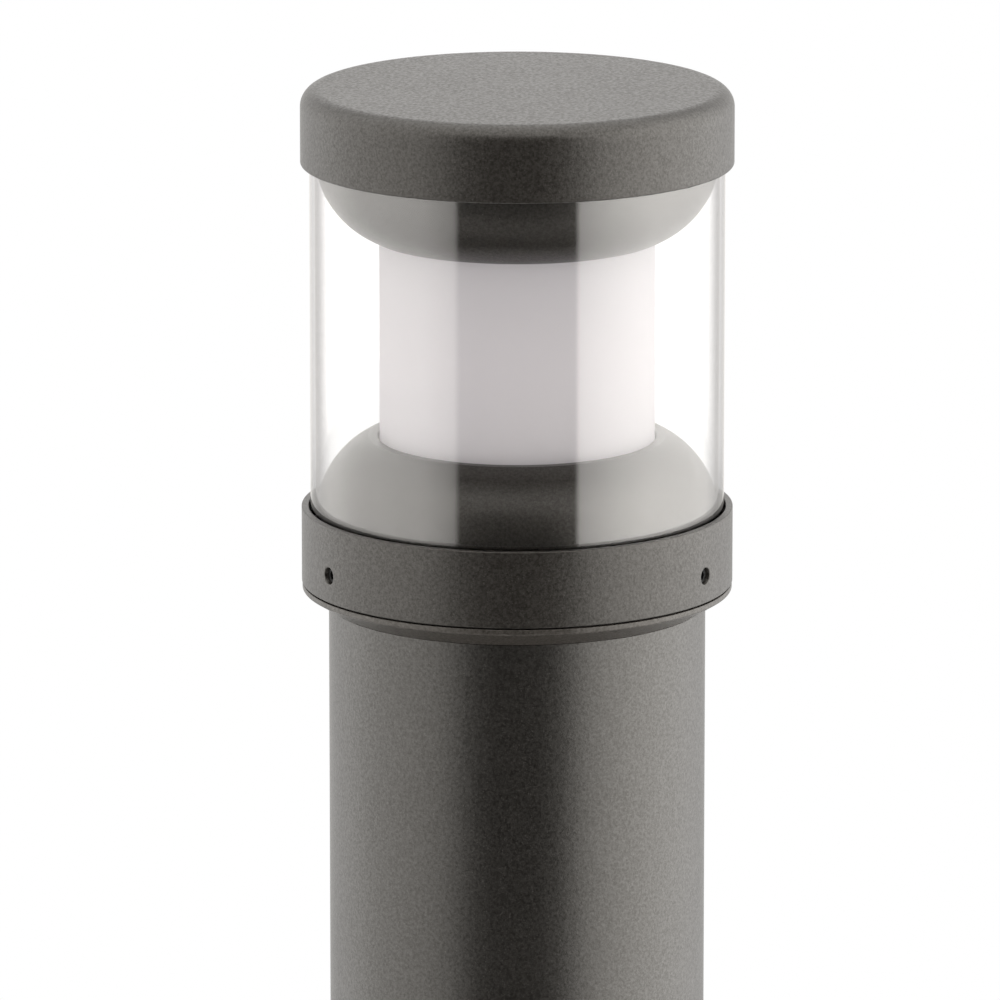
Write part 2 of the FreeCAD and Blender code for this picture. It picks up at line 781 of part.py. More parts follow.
def make_leads():
    routes = []
    for side in ("-", ""):
        pole, hole = f"{side}terminal_pitch", f"{side}lead_spread"
        routes.append([
            (pole, "wire_line", "terminal_top - terminal_screw_margin"),
            (pole, "wire_line", "terminal_top + lead_run"),
            (hole, 0, "post_top - lead_run"),
            (hole, 0, "deck_top + holder_wire_depth - lead_radius"),
        ])
    lead(routes, "lamp_leads", "lead_bend")
    lug_line = "tray_face - earth_lug_thickness / 2 - lead_radius"
    earth_route = [
        (0, "wire_line", "terminal_top - terminal_screw_margin"),
        (0, "wire_line", "earth_level"),
        ("earth_offset - earth_lug_radius - lift_gap", lug_line, "earth_level"),
    ]
    lead([earth_route], "earth_lead", "lead_bend / 2")


# ---- the lamp ----

def make_lamp():
    ring("lamp_contact", 0, "lamp_pin_radius", "lamp_pin_bottom", "lamp_cap_bottom")
    cap = new_body("lamp_cap")
    revolve(cap, "lamp_cap_turned", [
        (0, "lamp_cap_bottom"),
        ("lamp_cap_foot", "lamp_cap_bottom"),
        ("lamp_cap_radius", "lamp_cap_bottom + lamp_cap_radius - lamp_cap_foot"),
        ("lamp_cap_radius", "lamp_body_bottom"),
        (0, "lamp_body_bottom"),
    ])
    shell = new_body("lamp_body")
    revolve(shell, "lamp_body_turned", [
        (0, "lamp_body_bottom"),
        ("lamp_body_radius", "lamp_body_bottom"),
        ("lamp_shoulder_radius", "lamp_body_top"),
        (0, "lamp_body_top"),
    ])
    globe_rise = math.sqrt(value("lamp_globe_radius") ** 2 - value("lamp_shoulder_radius") ** 2)
    low_angle = -math.degrees(math.asin(globe_rise / value("lamp_globe_radius")))
    globe = primitive("Sphere", "lamp_globe_ball", (0, 0, f"lamp_body_top + {globe_rise}"),
                      Radius="lamp_globe_radius", Angle1=low_angle)
    finished(globe, "lamp_globe")


# ---- the head ----

def make_collar():
    body = new_body("collar_ring")
    turned = revolve(body, "collar_turned", [
        ("collar_bore", "collar_bottom"),
        ("head_radius", "collar_bottom"),
        ("head_radius", "collar_top"),
        ("rim_bore", "collar_top"),
        ("rim_bore", "collar_seat"),
        ("web_bore", "collar_seat"),
        ("web_bore", "web_bottom"),
        ("collar_bore", "web_bottom"),
    ])
    outer = round_rims(body, "collar_rounded", turned, "rim_round",
                       [("head_radius", "collar_bottom"), ("head_radius", "collar_top")])
    round_rims(body, "collar_rim_eased", outer, "rim_inner_round", [("rim_bore", "collar_top")])
    upright_holes(body, "collar_tie_holes", "tie_circle", "tie_hole", "tie_count")
    radial_holes(body, "collar_tapped_holes", "set_screw_level", "set_screw_radius + screw_gap",
                 "set_screw_count")


def make_cap():
    body = new_body("top_cap")
    turned = revolve(body, "cap_turned", [
        (0, "total_height"),
        ("head_radius", "total_height"),
        ("head_radius", "cap_bottom"),
        ("rim_bore", "cap_bottom"),
        ("rim_bore", "cap_seat"),
        ("cap_recess", "cap_seat"),
        ("cap_recess", "cap_ceiling"),
        (0, "cap_ceiling"),
    ])
    crown = round_rims(body, "cap_crowned", turned, "cap_round", [("head_radius", "total_height")])
    edge = round_rims(body, "cap_edge_eased", crown, "rim_round", [("head_radius", "cap_bottom")])
    round_rims(body, "cap_rim_eased", edge, "rim_inner_round", [("rim_bore", "cap_bottom")])
    boss_outline = new_sketch(body, "boss_outline", "XY_Plane", "boss_bottom")
    draw_circle(boss_outline, 0, "tie_circle", "boss_radius")
    boss = pad(body, "boss", boss_outline, "boss_length")
    hole_outline = new_sketch(body, "boss_hole_outline", "XY_Plane", "boss_bottom")
    draw_circle(hole_outline, 0, "tie_circle", "tie_radius + screw_gap")
    hole = cut(body, "boss_hole", hole_outline, "tie_engagement + lift_gap")
    pattern(body, "cap_bosses", [boss, hole], "tie_count")


def make_dome(label, nose_radius, nose, seat, flange_back, rim, rim_end):
    """Make a bowl-shaped shell with a lip round the opal tube and a flange that it bears on."""
    body = new_body(label)
    inner_curve = "dome_curve - dome_wall"
    corners = [
        ("dome_radius", rim_end),
        ("dome_radius", rim),
        (nose_radius, nose),
        ("lip_bore", nose),
        ("lip_bore", seat),
        ("flange_bore", seat),
        ("flange_bore", flange_back),
        (f"{nose_radius} + dome_toe", flange_back),
        ("dome_radius - dome_wall", rim),
        ("dome_radius - dome_wall", rim_end),
    ]
    turned = revolve(body, f"{label}_turned", corners, {1: "dome_curve", 7: inner_curve})
    rims = [(nose_radius, nose), ("lip_bore", nose)]
    round_rims(body, f"{label}_nose", turned, "dome_nose_round", rims)


def make_tubes():
    tube_inner = "tube_radius - tube_wall"
    ring("clear_tube", tube_inner, "tube_radius", "tube_bottom", "tube_top")
    gasket_inner = "tube_radius - gasket_width"
    ring("collar_gasket", gasket_inner, "tube_radius", "collar_seat", "tube_bottom")
    ring("cap_gasket", gasket_inner, "tube_radius", "tube_top", "cap_seat")
    opal_inner = "opal_radius - opal_wall"
    ring("opal_tube", opal_inner, "opal_radius", "opal_bottom", "opal_top")
    ring("lower_opal_seal", opal_inner, "opal_radius", "lower_seat", "opal_bottom")
    ring("upper_opal_seal", opal_inner, "opal_radius", "opal_top", "upper_seat")


def make_ties():
    tail = "web_bottom - washer_thickness - nut_height - tie_tail"
    rods = new_body("tie_rods")
    rod_outline = new_sketch(rods, "tie_rod_outline", "XY_Plane", tail)
    draw_circle(rod_outline, 0, "tie_circle", "tie_radius")
    rod = pad(rods, "tie_rod", rod_outline, f"boss_bottom + tie_engagement - ({tail})")
    pattern(rods, "tie_rod_ring", [rod], "tie_count")

    washers = new_body("tie_washers")
    washer_outline = new_sketch(washers, "tie_washer_outline", "XY_Plane", "web_bottom - washer_thickness")
    draw_circle(washer_outline, 0, "tie_circle", "washer_radius")
    draw_circle(washer_outline, 0, "tie_circle", "tie_hole")
    washer = pad(washers, "tie_washer", washer_outline, "washer_thickness")
    pattern(washers, "tie_washer_ring", [washer], "tie_count")

    nuts = new_body("tie_nuts")
    nut_level = "web_bottom - washer_thickness - nut_height"
    nut_outline = new_sketch(nuts, "tie_nut_outline", "XY_Plane", nut_level)
    draw_hexagon(nut_outline, 0, "tie_circle", "nut_flats")
    draw_circle(nut_outline, 0, "tie_circle", "tie_radius + screw_gap")
    nut = pad(nuts, "tie_nut", nut_outline, "nut_height")
    pattern(nuts, "tie_nut_ring", [nut], "tie_count")


def make_set_screw(label, turn):
    """Make one recessed set screw; turn is its angle about Z from the one at the back."""
    body = new_body(label)
    tip = "(spigot_radius + set_screw_tip_gap)"
    end = f"{tip} + set_screw_length"
    level = "set_screw_level"
    corners = [
        (tip, level),
        (end, level),
        (end, f"{level} + set_screw_radius"),
        (f"{tip} + set_screw_point", f"{level} + set_screw_radius"),
        (tip, f"{level} + set_screw_radius - set_screw_point"),
    ]
    radial_screw(body, label, level, corners, end, "set_screw_flats", "set_screw_socket")
    body.Placement = FreeCAD.Placement(FreeCAD.Vector(), FreeCAD.Rotation(FreeCAD.Vector(0, 0, 1), turn))


def check_document():
    """Stop if any object failed or any sub-part has no sound shape."""
    document.recompute()
    for item in document.Objects:
        if "Invalid" in item.State or "Error" in item.State:
            raise ValueError(f"{item.Label} failed: {item.State}")
    for item in nodes:
        shape = item.Shape
        if shape.isNull() or not shape.isValid() or not shape.Solids:
            raise ValueError(f"{item.Label} has no sound shape")


def write_parts():
    """Write each sub-part to its own file."""
    os.makedirs("parts", exist_ok=True)
    for item in nodes:
        item.Shape.exportStep(os.path.join("parts", f"{item.Label}.step"))
        print(f"{item.Label}: {len(item.Shape.Solids)} solid(s), {item.Shape.Volume / 1000:.2f} cm3")


make_foot()
make_foot_spigot()
make_post()
make_foot_screws()
make_neck()
make_sealing_ring()
make_lampholder()
make_upright_screws("lampholder_screws", [(0, "-holder_screw_circle"), (0, "holder_screw_circle")],
                    "deck_top + holder_base_height", True, "screw_length")
make_tray()
tab_middle = "tray_face - tray_tab / 2"
make_upright_screws("tray_screws", [("-tray_screw_spread", tab_middle), ("tray_screw_spread", tab_middle)],
                    "post_top - tray_sheet", False, "screw_length - screw_head_height")
make_terminal_block()
make_cable_clamp()
make_earth_point()
make_leads()
make_lamp()
make_collar()
make_cap()
make_dome("upper_dome", "upper_nose_radius", "upper_nose", "upper_seat", "upper_seat + dome_wall",
          "cap_bottom - upper_rim_drop", "tube_top")
make_dome("lower_dome", "lower_nose_radius", "lower_nose", "lower_seat", "lower_seat - dome_wall",
          "collar_top + lower_rim_rise", "tube_bottom")
make_tubes()
make_ties()
for screw_label, screw_turn in (("set_screw_rear", 0), ("set_screw_left", 120), ("set_screw_right", 240)):
    make_set_screw(screw_label, screw_turn)
check_document()
write_parts()
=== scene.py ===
import json
import math

import bmesh
import bpy
import numpy as np
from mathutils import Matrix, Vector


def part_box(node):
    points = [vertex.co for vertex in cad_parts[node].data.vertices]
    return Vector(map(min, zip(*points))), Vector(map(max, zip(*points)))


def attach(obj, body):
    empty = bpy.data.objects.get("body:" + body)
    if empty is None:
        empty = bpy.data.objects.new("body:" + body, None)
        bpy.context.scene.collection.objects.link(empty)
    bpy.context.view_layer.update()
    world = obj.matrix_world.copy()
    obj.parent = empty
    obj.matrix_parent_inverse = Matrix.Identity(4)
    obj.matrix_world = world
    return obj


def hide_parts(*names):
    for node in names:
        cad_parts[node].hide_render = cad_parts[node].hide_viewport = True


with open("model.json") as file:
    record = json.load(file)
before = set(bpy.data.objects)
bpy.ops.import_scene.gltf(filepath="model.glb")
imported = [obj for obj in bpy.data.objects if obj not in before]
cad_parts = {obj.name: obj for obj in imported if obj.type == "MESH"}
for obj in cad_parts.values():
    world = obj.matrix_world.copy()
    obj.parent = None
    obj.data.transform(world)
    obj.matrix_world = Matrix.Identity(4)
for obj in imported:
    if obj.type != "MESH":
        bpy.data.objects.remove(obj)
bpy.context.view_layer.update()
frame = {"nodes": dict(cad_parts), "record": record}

mm = 0.001
tau = 2 * math.pi
print("frame loaded:", len(frame["nodes"]), "nodes")


camera = {"away": 3.618, "height": 1.669, "down": 12.84, "left": 0.1009, "lens": 359.9}
lens = bpy.data.cameras.new("camera")
lens.lens = camera["lens"]
lens.sensor_width = 36
lens.clip_end = 40
eye = bpy.data.objects.new("camera", lens)
eye.location = (0, -camera["away"], camera["height"])
eye.rotation_euler = (math.radians(90 - camera["down"]), 0, math.radians(camera["left"]))
bpy.context.scene.collection.objects.link(eye)
bpy.context.scene.camera = eye
bpy.context.scene.view_settings.view_transform = "Standard"


class Socket:
    # an output socket that can be used in sums, so that an expression adds Math nodes

    def __init__(self, tree, link):
        self.tree, self.link = tree, link

    def calc(self, operation, *others):
        return self.tree.add("Math", {"operation": operation}, dict(enumerate((self, *others))))

    def __add__(self, other):
        return self.calc("ADD", other)

    def __mul__(self, other):
        return self.calc("MULTIPLY", other)

    def __sub__(self, other):
        return self.calc("SUBTRACT", other)

    def __rsub__(self, other):
        return self.tree.add("Math", {"operation": "SUBTRACT"}, {0: other, 1: self})

    def __truediv__(self, other):
        return self.calc("DIVIDE", other)

    def __pow__(self, other):
        return self.calc("POWER", other)

    __radd__ = __add__
    __rmul__ = __mul__


class Tree:
    # a node tree with one way of adding a node: its type, its settings, then its sockets

    def __init__(self, owner):
        owner.use_nodes = True
        self.nodes, self.links = owner.node_tree.nodes, owner.node_tree.links
        self.nodes.clear()

    def add(self, kind, settings=None, inputs=None, output=0):
        node = self.nodes.new("ShaderNode" + kind)
        for name, setting in (settings or {}).items():
            if name == "stops":
                ramp = node.color_ramp.elements
                while len(ramp) < len(setting):
                    ramp.new(0.5)
                for stop, (place, colour) in zip(ramp, setting):
                    stop.position, stop.color = place, colour
            else:
                setattr(node, name, setting)
        for name, entry in (inputs or {}).items():
            if isinstance(entry, Socket):
                self.links.new(entry.link, node.inputs[name])
            else:
                node.inputs[name].default_value = entry
        return Socket(self, node.outputs[output]) if len(node.outputs) else node

    def ramp(self, mask, *stops):
        # stops are (place, grey or colour)
        spelled = [(place, (*tone, 1) if isinstance(tone, tuple) else (tone, tone, tone, 1))
                   for place, tone in stops]
        return self.add("ValToRGB", {"stops": spelled}, {0: mask})

    def blend(self, mask, first, second):
        # mixes two colours by a mask
        first, second = [(*c, 1) if isinstance(c, tuple) and len(c) == 3 else c for c in (first, second)]
        return self.add("Mix", {"data_type": "RGBA"}, {0: mask, 6: first, 7: second}, 2)


light = {"profile": ((-180, 1.15), (-162, 0.95), (-145, 1.1), (-118, 2.1), (-80, 2.25), (-55, 2.1), (-40, 1.5),
                     (-35.5, 1.25), (-32.5, 0.02), (32.5, 0.02), (35.5, 2.1), (42, 2.5), (58, 3.3), (80, 4.0),
                     (100, 3.7), (118, 2.85), (145, 1.25), (162, 0.85), (180, 1.15)),
         "peak": 4.0, "top": 2.1, "topFrom": 0.62, "topTo": 0.86, "floor": 0.65, "floorFrom": 0.1, "floorTo": 0.5,
         "belowLeast": 0.1, "even": 0.9, "evenLevel": 1.02, "belowMore": 0.5, "seen": 1.0,
         "tint": (1.0, 0.985, 0.965)}


def makeWorld():
    # two broad soft boxes stand round the sides with a dark gap at the front and a paler wall behind:
    # brightness is a profile over the angle from the front, and levels off towards the top and the floor
    world = bpy.data.worlds.new("studio")
    world.cycles.sampling_method = "NONE"
    bpy.context.scene.world = world
    tree = Tree(world)
    x, y, z = [tree.add("SeparateXYZ", {}, {0: tree.add("TexCoord")}, k) for k in range(3)]
    turn = x.calc("ARCTAN2", y * -1) / tau + 0.5
    stops = [((angle + 360) / 360 - 0.5, bright / light["peak"]) for angle, bright in light["profile"]]
    ring = tree.ramp(turn, *stops) * light["peak"]
    above = tree.add("MapRange", {"interpolation_type": "SMOOTHSTEP"},
                     {0: z, 1: light["topFrom"], 2: light["topTo"]})
    below = tree.add("MapRange", {"interpolation_type": "SMOOTHSTEP"},
                     {0: z * -1, 1: light["floorFrom"], 2: light["floorTo"]})
    ring = ring + above * (light["top"] - ring)
    ring = ring * (1 - below * (1 - light["floor"])) + below * light["belowLeast"]
    matt = tree.add("LightPath", output=2) * light["even"]
    ring = ring + matt * (below * light["belowMore"] + light["evenLevel"] - ring)
    direct = tree.add("LightPath")
    strength = ring + direct * (light["seen"] - ring)
    colour = tree.blend(direct, light["tint"], (1, 1, 1))
    shine = tree.add("Background", {}, {"Color": colour, "Strength": strength})
    tree.add("OutputWorld", {}, {"Surface": shine})


makeWorld()


def runPoints(start, end, support):
    # a straight run with a point close to each end, so that smooth shading stays flat between them
    length = np.linalg.norm(end - start)
    shares = [0, support / length, 1 - support / length, 1] if length > 3 * support else [0, 1]
    return start + np.outer(shares, end - start)


def roundedOutline(corners, closed=True, support=0.3 * mm, steps=6):
    # corners are (radius, height, rounding); a rounded corner is an arc of that rounding, tangent to both sides
    points = np.array([corner[:2] for corner in corners], float)
    rounding = [corner[2] if len(corner) > 2 else 0 for corner in corners]
    count = len(points)
    rounds = []
    for index in range(count):
        here = points[index]
        if rounding[index] == 0 or not closed and index in (0, count - 1):
            rounds.append(here[None])
            continue
        back = points[index - 1] - here
        ahead = points[(index + 1) % count] - here
        back, ahead = back / np.linalg.norm(back), ahead / np.linalg.norm(ahead)
        half = math.acos(np.clip(back @ ahead, -1, 1)) / 2
        middle = (back + ahead) / np.linalg.norm(back + ahead)
        centre = here + middle * rounding[index] / math.sin(half)
        first = here + back * rounding[index] / math.tan(half) - centre
        last = here + ahead * rounding[index] / math.tan(half) - centre
        turn = math.pi - 2 * half
        share = np.linspace(0, 1, steps + 1)[:, None]
        arc = (np.sin((1 - share) * turn) * first + np.sin(share * turn) * last) / math.sin(turn)
        rounds.append(centre + arc)
    pieces = []
    for index in range(count if closed else count - 1):
        following = rounds[(index + 1) % count]
        pieces.append(rounds[index])
        pieces.append(runPoints(rounds[index][-1], following[0], support)[1:-1])
    if not closed:
        pieces.append(rounds[-1])
    return np.concatenate([piece for piece in pieces if len(piece)])


def arcOutline(start, end, radius, steps):
    # points on the arc between two (radius, height) points whose centre lies on the axis side
    start, end = np.array(start, float), np.array(end, float)
    chord = end - start
    across = np.array([-chord[1], chord[0]]) / np.linalg.norm(chord)
    across = across if across[0] < 0 else -across
    centre = (start + end) / 2 + across * math.sqrt(radius ** 2 - chord @ chord / 4)
    first, last = start - centre, end - centre
    turn = math.acos(first @ last / radius ** 2)
    share = np.linspace(0, 1, steps + 1)[:, None]
    return centre + (np.sin((1 - share) * turn) * first + np.sin(share * turn) * last) / math.sin(turn)


def gridFaces(rows, columns, wrapRows, wrapColumns, start=0):
    # quads of a grid whose vertex (row, column) is start + row * columns + column
    row = np.arange(rows if wrapRows else rows - 1)[:, None]
    column = np.arange(columns if wrapColumns else columns - 1)[None]
    nextRow, nextColumn = (row + 1) % rows, (column + 1) % columns
    corner = [row * columns + column, nextRow * columns + column,
              nextRow * columns + nextColumn, row * columns + nextColumn]
    return start + np.stack([c + np.zeros_like(row * column) for c in corner], -1).reshape(-1, 4)


def makeMesh(name, grids, material, body, replaced, mergeWithin=1e-6, sharp=50):
    # grids are (points, faces) pairs, merged where they meet; normals are made to point outwards
    mesh = bpy.data.meshes.new(name)
    points = np.concatenate([grid[0].reshape(-1, 3) for grid in grids])
    starts = np.cumsum([0] + [len(grid[0].reshape(-1, 3)) for grid in grids])
    faces = np.concatenate([grid[1] + first for grid, first in zip(grids, starts)])
    mesh.vertices.add(len(points))
    mesh.vertices.foreach_set("co", points.astype(np.float32).ravel())
    mesh.loops.add(faces.size)
    mesh.loops.foreach_set("vertex_index", faces.astype(np.int32).ravel())
    mesh.polygons.add(len(faces))
    mesh.polygons.foreach_set("loop_start", np.arange(0, faces.size, 4, dtype=np.int32))
    mesh.update(calc_edges=True)
    work = bmesh.new()
    work.from_mesh(mesh)
    bmesh.ops.remove_doubles(work, verts=work.verts, dist=mergeWithin)
    bmesh.ops.dissolve_degenerate(work, edges=work.edges, dist=mergeWithin)
    bmesh.ops.recalc_face_normals(work, faces=work.faces)
    work.to_mesh(mesh)
    work.free()
    mesh.shade_smooth()
    mesh.set_sharp_from_angle(angle=math.radians(sharp))
    mesh.materials.append(material)
    piece = bpy.data.objects.new(name, mesh)
    bpy.context.scene.collection.objects.link(piece)
    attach(piece, body)
    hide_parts(*replaced)
    return piece


def turned(outline, closed=True, angles=None, segments=192):
    # turns an outline about Z: x = r cos a, y = r sin a, z = height
    wrap = angles is None
    angles = np.arange(segments) * tau / segments if wrap else angles
    r, z = outline[:, :1], outline[:, 1:]
    points = np.stack([r * np.cos(angles), r * np.sin(angles), z + 0 * angles], -1)
    return points, gridFaces(len(outline), len(angles), closed, True)


def drilledAngles(count, first, halfAngle, patch, between):
    # angles round the axis: patch steps across each hole's patch and between steps from one patch to the next
    pitch = tau / count
    one = np.concatenate([np.linspace(-halfAngle, halfAngle, patch + 1)[:-1],
                          np.linspace(halfAngle, pitch - halfAngle, between + 1)[:-1]])
    return (first + np.arange(count)[:, None] * pitch + one).ravel()


class Band:
    # an upright cylinder wall; (u, v) are lengths along and up the wall from a hole's centre

    def __init__(self, radius):
        self.radius = radius

    def local(self, angle, level, centre):
        return self.radius * (angle - centre[0]), level - centre[1]

    def point(self, u, v, centre):
        angle, level = np.broadcast_arrays(centre[0] + u / self.radius, centre[1] + v)
        return np.stack([self.radius * np.cos(angle), self.radius * np.sin(angle), level], -1)


class Plate:
    # a level face; (u, v) are lengths across and away from the axis, from a hole's centre

    def __init__(self, height):
        self.height = height

    def local(self, angle, level, centre):
        return level * np.sin(angle - centre[0]), level * np.cos(angle - centre[0]) - centre[1]

    def point(self, u, v, centre):
        u, away = np.broadcast_arrays(u, centre[1] + v)
        cosine, sine = math.cos(centre[0]), math.sin(centre[0])
        return np.stack([away * cosine - u * sine, away * sine + u * cosine, self.height + 0 * u], -1)


def patchSquare(patch):
    # the border of the unit square as 4 * patch points, and the direction of each from its centre
    run = np.linspace(-1, 1, patch + 1)[:-1]
    one = np.ones(patch)
    across = np.concatenate([run, one, -run, -one])
    up = np.concatenate([-one, run, one, -run])
    return across, up, np.arctan2(up, across)


def drilledFace(surface, levels, angles, holes, halfAngle, radius, patch, between, rows=6):
    # a wall or face with a round hole in the middle of each patch; levels are its two ends and the patch's two sides
    grids = []
    block = patch + between
    for low, high in ((levels[0], levels[1]), (levels[2], levels[3])):
        level = np.array([low, high])[:, None]
        u, v = surface.local(angles[None], level, (0, 0))
        grids.append((surface.point(u, v, (0, 0)), gridFaces(2, len(angles), False, True)))
    middle = np.linspace(levels[1], levels[2], patch + 1)[:, None]
    across, up, direction = patchSquare(patch)
    share = (np.linspace(0, 1, rows + 1) ** 0.8)[:, None]
    for index, centre in enumerate(holes):
        run = np.take(angles, np.arange(index * block + patch, (index + 1) * block + 1), mode="wrap")
        run = run + tau * (np.arange(len(run)) + index * block + patch >= len(angles))
        u, v = surface.local(run[None], middle, (0, 0))
        grids.append((surface.point(u, v, (0, 0)), gridFaces(patch + 1, len(run), False, False)))
        level = (levels[1] + levels[2]) / 2 + up * (levels[2] - levels[1]) / 2
        u, v = surface.local(centre[0] + across * halfAngle, level, centre)
        u = (1 - share) * u + share * radius * np.cos(direction)
        v = (1 - share) * v + share * radius * np.sin(direction)
        grids.append((surface.point(u, v, centre), gridFaces(rows + 1, 4 * patch, False, True)))
    return grids


def tunnels(outer, inner, holes, radius, ease, patch, axisOf):
    # the wall of each hole, from the outer face to the inner one, with its two mouths eased
    grids = []
    direction = patchSquare(patch)[2]
    for centre in holes:
        axis = axisOf(centre) * ease
        wide, narrow = radius + ease, radius
        rings = [outer.point(wide * np.cos(direction), wide * np.sin(direction), centre),
                 outer.point(narrow * np.cos(direction), narrow * np.sin(direction), centre) - axis,
                 inner.point(narrow * np.cos(direction), narrow * np.sin(direction), centre) + axis,
                 inner.point(wide * np.cos(direction), wide * np.sin(direction), centre)]
        grids.append((np.stack(rings), gridFaces(4, 4 * patch, False, True)))
    return grids


def radialAxis(centre):
    return np.array([math.cos(centre[0]), math.sin(centre[0]), 0])


def uprightAxis(centre):
    return np.array([0, 0, 1])


def radiusOf(node):
    low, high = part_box(node)
    return max(high.x, high.y, -low.x, -low.y)


def heightsOf(node):
    low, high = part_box(node)
    return low.z, high.z


def principled(tree, constants, varied):
    # constants are set on the shader's own sockets, varied ones are linked
    shader = tree.add("BsdfPrincipled", {}, {**constants, **varied})
    tree.add("OutputMaterial", {}, {"Surface": shader})
    return shader


def newTree(name):
    material = bpy.data.materials.new(name)
    return material, Tree(material)


def bumped(tree, height, depth, strength=1.0, after=None):
    inputs = {"Height": height, "Strength": strength, "Distance": depth}
    if after is not None:
        inputs["Normal"] = after
    return tree.add("Bump", {}, inputs)


coat = {"dark": (0.0075, 0.0062, 0.0048), "light": (0.0230, 0.0200, 0.0172), "fleck": (0.26, 0.25, 0.23),
        "fleckShare": 0.15, "grainSize": 1.1 * mm, "fleckSize": 0.85 * mm, "patchSize": 45 * mm,
        "roughness": 0.36, "gloss": 1.494, "varnish": 0.55, "levelSize": 1.3 * mm, "levelVarnish": 0.52,
        "roughGrain": 0.22, "roughDrift": 0.06, "grainDepth": 0.10 * mm, "tint": (1.0, 0.965, 0.90, 1)}


def powderCoat(name, shade=1.0, grain=1.0, roughness=coat["roughness"], gloss=coat["gloss"],
               varnish=coat["varnish"], levelFrom=None):
    # graphite powder coat: fine grains in two tones and two levels of gloss, metal flecks of random strength,
    # and a faint orange peel; above the height levelFrom the gloss grains are coarser
    material, tree = newTree(name)
    where = tree.add("TexCoord", output=3)
    grains = tree.add("TexNoise", {}, {"Vector": where, "Scale": 1 / coat["grainSize"], "Detail": 3.0,
                                       "Roughness": 0.8})
    cells = {"Vector": where, "Scale": 1 / coat["fleckSize"]}
    flecks = tree.add("TexVoronoi", {}, cells)
    chance = tree.add("TexVoronoi", {}, cells, 1)
    peel = tree.add("TexNoise", {}, {"Vector": where, "Scale": 0.6 / coat["grainSize"], "Detail": 1.0})
    drift = tree.add("TexNoise", {}, {"Vector": where, "Scale": 1 / coat["patchSize"], "Detail": 2.0})
    tone = tree.ramp(grains, (0.36, 0), (0.64, 1))
    # shade scales both tones; the neck's and the post's copies use it to paint light and shade
    dark, light = [tuple(c * shade for c in coat[key]) for key in ("dark", "light")]
    colour = tree.blend(tone, dark, light)
    fleckMask = tree.ramp(flecks, (0.14, 1), (0.34, 0)) * tree.ramp(chance, (0.25, 0), (0.75, 1))
    fleckMask = fleckMask * (coat["fleckShare"] * grain)
    colour = tree.blend(fleckMask, colour, coat["fleck"])
    rough = roughness + (grains - 0.5) * (coat["roughGrain"] * grain) + (drift - 0.5) * coat["roughDrift"]
    normal = bumped(tree, grains, coat["grainDepth"] * grain, 0.8)
    normal = bumped(tree, peel, coat["grainDepth"] * grain, 0.5, normal)
    glossy = tree.ramp(grains, (0.36, 0), (0.64, 1)) * varnish
    if levelFrom is not None:
        height = tree.add("SeparateXYZ", {}, {0: where}, 2)
        level = tree.add("MapRange", {}, {0: height, 1: levelFrom, 2: levelFrom + 1 * mm})
        coarse = tree.add("TexNoise", {}, {"Vector": where, "Scale": 1 / coat["levelSize"], "Detail": 2.0})
        glossy = glossy + level * (tree.ramp(coarse, (0.40, 0), (0.60, 1)) * coat["levelVarnish"] - glossy)
    principled(tree, {"IOR": gloss, "Specular Tint": coat["tint"], "Coat IOR": gloss, "Coat Roughness": roughness},
               {"Base Color": colour, "Metallic": fleckMask, "Coat Weight": glossy, "Roughness": rough,
                "Normal": normal})
    return material


clear = {"headOn": 0.059, "edgeTint": 0.65, "edgeFrom": 0.58, "edgeTo": 0.85, "roughness": 0.02,
         "shine": (1.0, 0.988, 0.972, 1)}


def clearAcrylic(name):
    # a clear wall that doesn't bend light: the mirrored share rises from head on to the edge by
    # Schlick's rule, headOn + (1 - headOn) * facing ^ 5, and the edge takes a faint grey
    material, tree = newTree(name)
    facing = tree.add("LayerWeight", {}, {"Blend": 0.5}, 1)
    mirrored = facing ** 5 * (1 - clear["headOn"]) + clear["headOn"]
    where = tree.add("TexCoord", output=3)
    smear = tree.add("TexNoise", {}, {"Vector": where, "Scale": 18.0, "Detail": 2.0})
    through = tree.add("BsdfTransparent", {}, {"Color": (0.995, 0.995, 0.995, 1)})
    grey = tree.add("BsdfTransparent", {}, {"Color": (0.55, 0.55, 0.57, 1)})
    edge = tree.add("MapRange", {"interpolation_type": "SMOOTHSTEP"},
                    {0: facing, 1: clear["edgeFrom"], 2: clear["edgeTo"], 4: clear["edgeTint"]})
    tinted = tree.add("MixShader", {}, {0: edge, 1: through, 2: grey})
    shine = tree.add("BsdfGlossy", {}, {"Color": clear["shine"], "Roughness": clear["roughness"] + smear * 0.012})
    surface = tree.add("MixShader", {}, {0: mirrored, 1: tinted, 2: shine})
    tree.add("OutputMaterial", {}, {"Surface": surface})
    return material


opal = {"colour": (0.875, 0.857, 0.875), "warm": (0.90, 0.88, 0.885), "roughness": 0.45, "gloss": 0.3,
        "through": 0.68, "paintedGlow": 0.16}


def opalAcrylic(name):
    # satin white that also lets diffuse light through, with a slow drift between two whites;
    # the faint glow is painted light: it stands in for light scattered within the wall
    material, tree = newTree(name)
    where = tree.add("TexCoord", output=3)
    drift = tree.add("TexNoise", {}, {"Vector": where, "Scale": 14.0, "Detail": 2.0})
    fine = tree.add("TexNoise", {}, {"Vector": where, "Scale": 1400.0, "Detail": 1.0})
    colour = tree.blend(drift, opal["colour"], opal["warm"])
    rough = opal["roughness"] + (fine - 0.5) * 0.08
    normal = bumped(tree, fine, 0.004 * mm, 0.3)
    satin = tree.add("BsdfPrincipled", {}, {"IOR": 1.49, "Specular IOR Level": opal["gloss"], "Base Color": colour,
                                             "Roughness": rough, "Normal": normal, "Emission Color": colour,
                                             "Emission Strength": opal["paintedGlow"]})
    passing = tree.add("BsdfTranslucent", {}, {"Color": colour, "Normal": normal})
    surface = tree.add("MixShader", {}, {0: opal["through"], 1: satin, 2: passing})
    tree.add("OutputMaterial", {}, {"Surface": surface})
    return material


